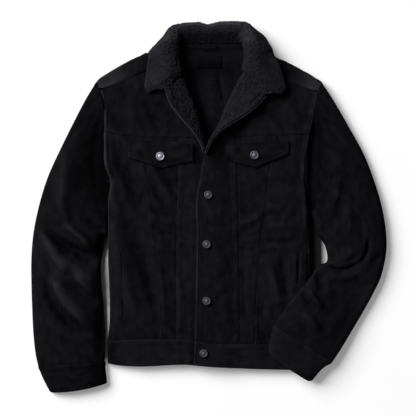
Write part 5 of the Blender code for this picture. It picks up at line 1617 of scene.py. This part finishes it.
# Painted shade down the stand, darker towards the neck seam.
stand_tone = stand_tone + 0.12 - 0.6 * soft_step(1.3 * stand_places)
collar_stand = cloth("collar_stand", stand_outer, stand_inner, stand_lay, stand_tone, sherpa)
sewn(collar_stand)

# ---------------------------------------------------------------------------------------
# The chest pockets' flaps: two plies of corduroy, ribs across, pointed at the button and
# stitched twice along the edge; and the side pockets' welts, narrow lapped strips.
FLAP_WALL = 4.0
FLAP_CLEAR = 0.5
LEFT_FLAP = ((-166, 136, 101), (-133, 136, 91), (-100, 135.5, 79), (-66, 133, 87), (-32, 129, 93))
RIGHT_FLAP = ((34, 128, 97), (64, 130, 87.5), (94.5, 132.5, 80.5), (131, 133.5, 95),
              (163, 134, 109))
WELT_WALL = {"welt_left": 0.7, "welt_right": 2.0}
WELT_WIDTH = 12.0
WELT_SIDES = np.array((-1, -0.94, -0.85, -0.7, -0.5, -0.25, 0, 0.25, 0.5, 0.7, 0.85, 0.94, 1))
WELTS = (("welt_left", (-183, -187), (-226, -92), "front_side_left"),
         ("welt_right", (194, 193.5), (-160, -92), "front_side_right"))


def layer(name, x, y, base, thick, lay, tone, finish):
    """A flat piece lying on a base: its top and its underside over the same grid."""
    return cloth(name, np.stack([x, y, base + thick], -1), np.stack([x, y, base], -1),
                 np.stack(lay, -1), tone, finish)


def flap(name, rows, lifted):
    """A flap on the front's creased surface: straight ends, a pointed lower edge, a rounded
    rim and two stitched grooves beside it."""
    points, upper, lower = zip(*rows)
    first, last = points[0], points[-1]
    share, offset = stations(LAP_LINES, LAP_LINES, last - first, 2.4)
    x = np.sort(np.append(first + share * (last - first) + offset, points[len(points) // 2]))
    low, top = np.interp(x, points, lower), np.interp(x, points, upper)
    slope = np.gradient(low, x)
    share, offset = stations(LAP_LINES, TUCK_LINES[:4], 44, 2.4)
    y = low + share[:, None] * (top - low) + offset[:, None]
    x = np.broadcast_to(x, y.shape)
    near = np.minimum(np.minimum(x - first, last - x), (y - low) / np.sqrt(1 + slope ** 2))
    base = front_top(x, y, lifted) + FLAP_CLEAR
    rim = rounding(near, 2.2, 0.02)
    grooves = sum(bell(near - row, 0.65) for row in STITCH_ROWS)
    swell = 0.9 * soft_step((near - 8) / 9) + 0.5 * mottle(x, y, 24, 18, 71)
    thick = FLAP_WALL * (0.35 + 0.65 * rim) - 0.6 * grooves * rim + swell * rim
    # Painted highlight on the rounded rim and the swell, painted shade in the stitched grooves, and
    # uneven pile.
    tone = 0.15 * rim + 0.1 * swell - 0.25 * grooves + 0.25 * mottle(x, y, 14, 10, 72) - 0.12
    return layer(name, x, y, base, thick, (y, x), tone, corduroy)


def welt(name, ends_x, ends_y):
    """A strip beside a side pocket's mouth, rounded on both long edges."""
    low_y, high_y = ends_y
    share, offset = stations(TUCK_LINES, TUCK_LINES, high_y - low_y, 3.0)
    y = (low_y + share * (high_y - low_y) + offset)[:, None]
    x = np.interp(y, ends_y, ends_x) + WELT_WIDTH / 2 * WELT_SIDES
    y = np.broadcast_to(y, x.shape)
    near = WELT_WIDTH / 2 * (1 - np.abs(WELT_SIDES))
    rim = rounding(near, 1.5, 0.02)
    uneven = mottle(x, y, 8, 12, 73)
    base = front_top(x, y, False) + FLAP_CLEAR
    thick = WELT_WALL[name] * (0.4 + 0.6 * rim) - 0.3 * bell(near - 2.2, 0.5) + 0.3 * uneven
    # Painted highlight on the rounded edges, and painted light where the strip swells.
    return layer(name, x, y, base, thick, (x, y), 0.2 * rim + 0.08 * uneven, corduroy)


for name, rows, lifted, carrier in (("flap_left", LEFT_FLAP, False, "front_mid_left"),
                                    ("flap_right", RIGHT_FLAP, True, "front_mid_right")):
    sewn(flap(name, rows, lifted))
for name, ends_x, ends_y, carrier in WELTS:
    sewn(welt(name, ends_x, ends_y))

# ---------------------------------------------------------------------------------------
# The neck label and the hanging loop: a plain dark satin label stitched round its edge,
# and a short twisted cord sewn down at both ends.
LABEL_SIZE = (50.0, 25.0, 0.8)
LABEL_CENTRE = (-1.5, 299.0)
LABEL_CLEAR = 0.4
LABEL_RISE = 1.1            # over the tips of the lining's curls
LABEL_HEM = 0.2             # the ply turned under, below the label's base
LABEL_STITCH = (1.5, 0.5)   # the row of stitches: how far from the edge, and how wide
LOOP_SPAN = 33.0
LOOP_BOW = (5.0, 1.5)       # how far the loop hangs down the neck, and rises off it
LOOP_RADIUS = 1.8
LOOP_CENTRE = (-3.0, 330.0)
LOOP_CLEAR = 2.1
LOOP_TWISTS = 9
LOOP_POINTS = (90, 25)
LOOP_LAY = (42, 11)
SATIN = (0.0030, 0.0030, 0.0036, 1)
SATIN_EDGE = (0.0075, 0.0075, 0.0085, 1)
THREAD = 0.35 * MM


def satin_weave(start, tone):
    """Fine threads across, lighter along the stitched edge."""
    place = start.node("ShaderNodeUVMap", {"uv_map": "cloth"})
    split = start.node("ShaderNodeSeparateXYZ", (), {0: place}, 1)
    thread = start.math("SINE", split * (2 * math.pi / THREAD)) * 0.5 + 0.5
    shade = start.math("MINIMUM", thread * 0.2 + tone, 1.0)
    return {"Base Color": start.blend(shade, SATIN, SATIN_EDGE)}, thread


satin = dyed("label_satin", SATIN[:3], 0.5, 0.012, (0.4, 0.0002), satin_weave)

label_wide, label_high, label_thick = LABEL_SIZE
label_u, label_v = np.meshgrid(np.linspace(-0.5, 0.5, 61) * label_wide,
                               np.linspace(-0.5, 0.5, 33) * label_high)
label_x, label_y = LABEL_CENTRE[0] + label_u, LABEL_CENTRE[1] + label_v
label_near = np.minimum(label_wide / 2 - np.abs(label_u), label_high / 2 - np.abs(label_v))
label_base = (lining_top(label_x, label_y) + LABEL_CLEAR + LABEL_RISE
              + 0.5 * mottle(label_x, label_y, 18, 12, 81)
              + 0.6 * creases(label_x, label_y, LINING_CREASES))
label_edge = bell(label_near - LABEL_STITCH[0], LABEL_STITCH[1])
label_up = label_thick * (0.5 + 0.5 * np.minimum(label_near / 0.8, 1)) - 0.25 * label_edge
neck_label = layer("neck_label", label_x, label_y, label_base - LABEL_HEM, label_up + LABEL_HEM,
                   (label_u, label_v), label_edge * 0.8, satin)
sewn(neck_label)

loop_long, loop_wide = LOOP_POINTS
loop_turn = np.linspace(0, math.pi, loop_long)[:, None]
loop_round = np.linspace(0, 2 * math.pi, loop_wide)[None, :-1]
loop_ground = lining_top(0, LOOP_CENTRE[1]) + LOOP_RADIUS + LOOP_CLEAR
loop_line = np.concatenate([LOOP_CENTRE[0] - LOOP_SPAN / 2 * np.cos(loop_turn),
                            LOOP_CENTRE[1] - LOOP_BOW[0] * np.sin(loop_turn),
                            loop_ground + LOOP_BOW[1] * np.sin(loop_turn)], 1)
loop_ahead = unit(np.gradient(loop_line, axis=0))
loop_side = unit(np.cross(loop_ahead, UP))
loop_up = np.cross(loop_side, loop_ahead)
strand = loop_round * 2 + loop_turn * LOOP_TWISTS * 2
loop_reach = (LOOP_RADIUS * (0.86 + 0.14 * np.cos(strand)))[..., None]
loop_spokes = loop_reach * (loop_side[:, None] * np.cos(loop_round)[..., None]
                            + loop_up[:, None] * np.sin(loop_round)[..., None])
loop_lay = np.stack(np.meshgrid(np.linspace(0, LOOP_LAY[1], loop_wide),
                                np.linspace(0, LOOP_LAY[0], loop_long)), -1)
# The cord's tone: painted light on each strand and painted shade between the twists.
hanger_loop = cloth("hanger_loop", loop_line[:, None] + loop_spokes,
                    loop_line[:, None] + 0.3 * loop_spokes, loop_lay, 0.3 + 0.3 * np.cos(strand),
                    corduroy, loop=True)
placed(hanger_loop)

# ---------------------------------------------------------------------------------------
# The buttons: turned shank buttons in dulled gunmetal, a raised rim round a sunk ring and a
# low dome, four down the front and one on each flap.
FLAP_BUTTON = (17.8, 4.0)
PLACKET_BUTTON = (17.0, 3.4)
BUTTON_CLEAR = 0.5
BUTTON_PROBE = 8.0
BUTTON_SIDES = 48
BUTTON_FINE = 3             # lines of the mesh from one row of the profile to the next
BUTTONS = (("button_flap_left", -100, 104), ("button_flap_right", 92, 106.5),
           ("button_1", -2.5, 25.5), ("button_2", -5.5, -75.5), ("button_3", -5.5, -191),
           ("button_4", -11.5, -298.5))
# Share of the radius and of the height, from the middle of the dome to the foot.
BUTTON_PROFILE = ((0.0, 0.99), (0.12, 0.98), (0.26, 0.94), (0.40, 0.87), (0.50, 0.79),
                  (0.58, 0.73), (0.64, 0.73), (0.69, 0.78), (0.74, 0.85), (0.80, 0.89),
                  (0.86, 0.89), (0.92, 0.83), (0.97, 0.70), (1.0, 0.52), (0.985, 0.30),
                  (0.93, 0.12), (0.84, 0.02), (0.60, 0.0), (0.0, 0.0))
METAL_DARK = (0.040, 0.041, 0.046, 1)
METAL_WORN = (0.160, 0.165, 0.187, 1)
# The colour of the painted glint, a painted reflection, on the left flap's button.
METAL_PAINTED_GLINT = (0.47, 0.48, 0.53, 1)
# Worn bright by use: share of the radius and how much.  Then the painted glint, a painted
# reflection, added on each flap's button, most on the left one.
BUTTON_WEAR = ((0, 1.0), (0.3, 0.8), (0.5, 0.45), (0.6, 0.3), (0.7, 0.35), (0.85, 0.65),
               (1.0, 0.3))
BUTTON_PAINTED_GLINT = {"button_flap_left": 1.3, "button_flap_right": 0.35}


def gunmetal_wear(start, tone):
    """Dark in the sunk ring, worn bright on the dome and the rim, finely mottled, and a painted
    glint where the tone passes 1.1.
    """
    place = start.node("ShaderNodeTexCoord", (), (), 3)
    blotch = start.node("ShaderNodeTexNoise", (), {0: place, "Scale": 700.0, "Detail": 4.0})
    grain = start.node("ShaderNodeTexNoise", (), {0: place, "Scale": 4200.0, "Detail": 2.0})
    worn_and_lit = (tone * 0.9 + blotch * 0.5 - 0.30).clip()
    bright = ((tone - 1.1) * 0.9).clip()
    antiqued = start.blend(worn_and_lit, METAL_DARK, METAL_WORN)
    return {"Base Color": start.blend(bright, antiqued, METAL_PAINTED_GLINT),
            "Roughness": 0.72 - worn_and_lit * 0.12}, grain


gunmetal = dyed("gunmetal", METAL_WORN[:3], 0.4, 0.5, (0.25, 0.0002), gunmetal_wear)
gunmetal.node_tree.nodes["Principled BSDF"].inputs["Metallic"].default_value = 1.0


def button(name, size, x, y, ground):
    """A profile turned about the button's own axis, closed at both poles."""
    radius, thick = size[0] / 2, size[1]
    share, height = np.array(BUTTON_PROFILE).T
    place = np.arange(len(share))
    fine = np.linspace(0, place[-1], BUTTON_FINE * place[-1] + 1)
    reach = np.interp(fine, place, share)[:, None] * radius
    up = np.interp(fine, place, height)[:, None] * thick
    turn = np.linspace(0, 2 * math.pi, BUTTON_SIDES + 1)[:-1]
    ring = np.stack([x + reach * np.cos(turn), y + reach * np.sin(turn), ground + up + 0 * turn],
                    -1)
    rows, columns = ring.shape[:2]
    index = np.arange(rows * columns).reshape(rows, columns)
    onward = np.roll(index, -1, 1)
    faces = np.stack([index[:-1], index[1:], onward[1:], onward[:-1]], -1).reshape(-1, 4)
    mesh = bpy.data.meshes.new(name)
    mesh.from_pydata((ring.reshape(-1, 3) * MM).tolist(), [], faces.tolist())
    # Wear, and the painted glint on the flaps' buttons.
    wear_and_painted_light = np.interp(reach / radius, *zip(*BUTTON_WEAR)) + BUTTON_PAINTED_GLINT.get(name, 0.0)
    wear_and_painted_light = np.repeat(wear_and_painted_light, columns).astype(np.float32)
    mesh.attributes.new("tone", "FLOAT", "POINT").data.foreach_set("value", wear_and_painted_light)
    work = bmesh.new()
    work.from_mesh(mesh)
    bmesh.ops.remove_doubles(work, verts=work.verts, dist=0.000002)
    bmesh.ops.recalc_face_normals(work, faces=work.faces)
    work.to_mesh(mesh)
    work.free()
    mesh.materials.append(gunmetal)
    mesh.shade_smooth()
    made = bpy.data.objects.new(name + "_metal", mesh)
    scene.collection.objects.link(made)
    placed(made)


probe_x, probe_y = np.meshgrid(*[np.linspace(-BUTTON_PROBE, BUTTON_PROBE, 5)] * 2)
for name, x, y in BUTTONS:
    on_flap = name in BUTTON_PAINTED_GLINT
    under = front_top(x + probe_x, y + probe_y, x > 0 or not on_flap).max() + BUTTON_CLEAR
    if on_flap:
        under = under + FLAP_CLEAR + FLAP_WALL + 0.4
    button(name, FLAP_BUTTON if on_flap else PLACKET_BUTTON, x, y, under)
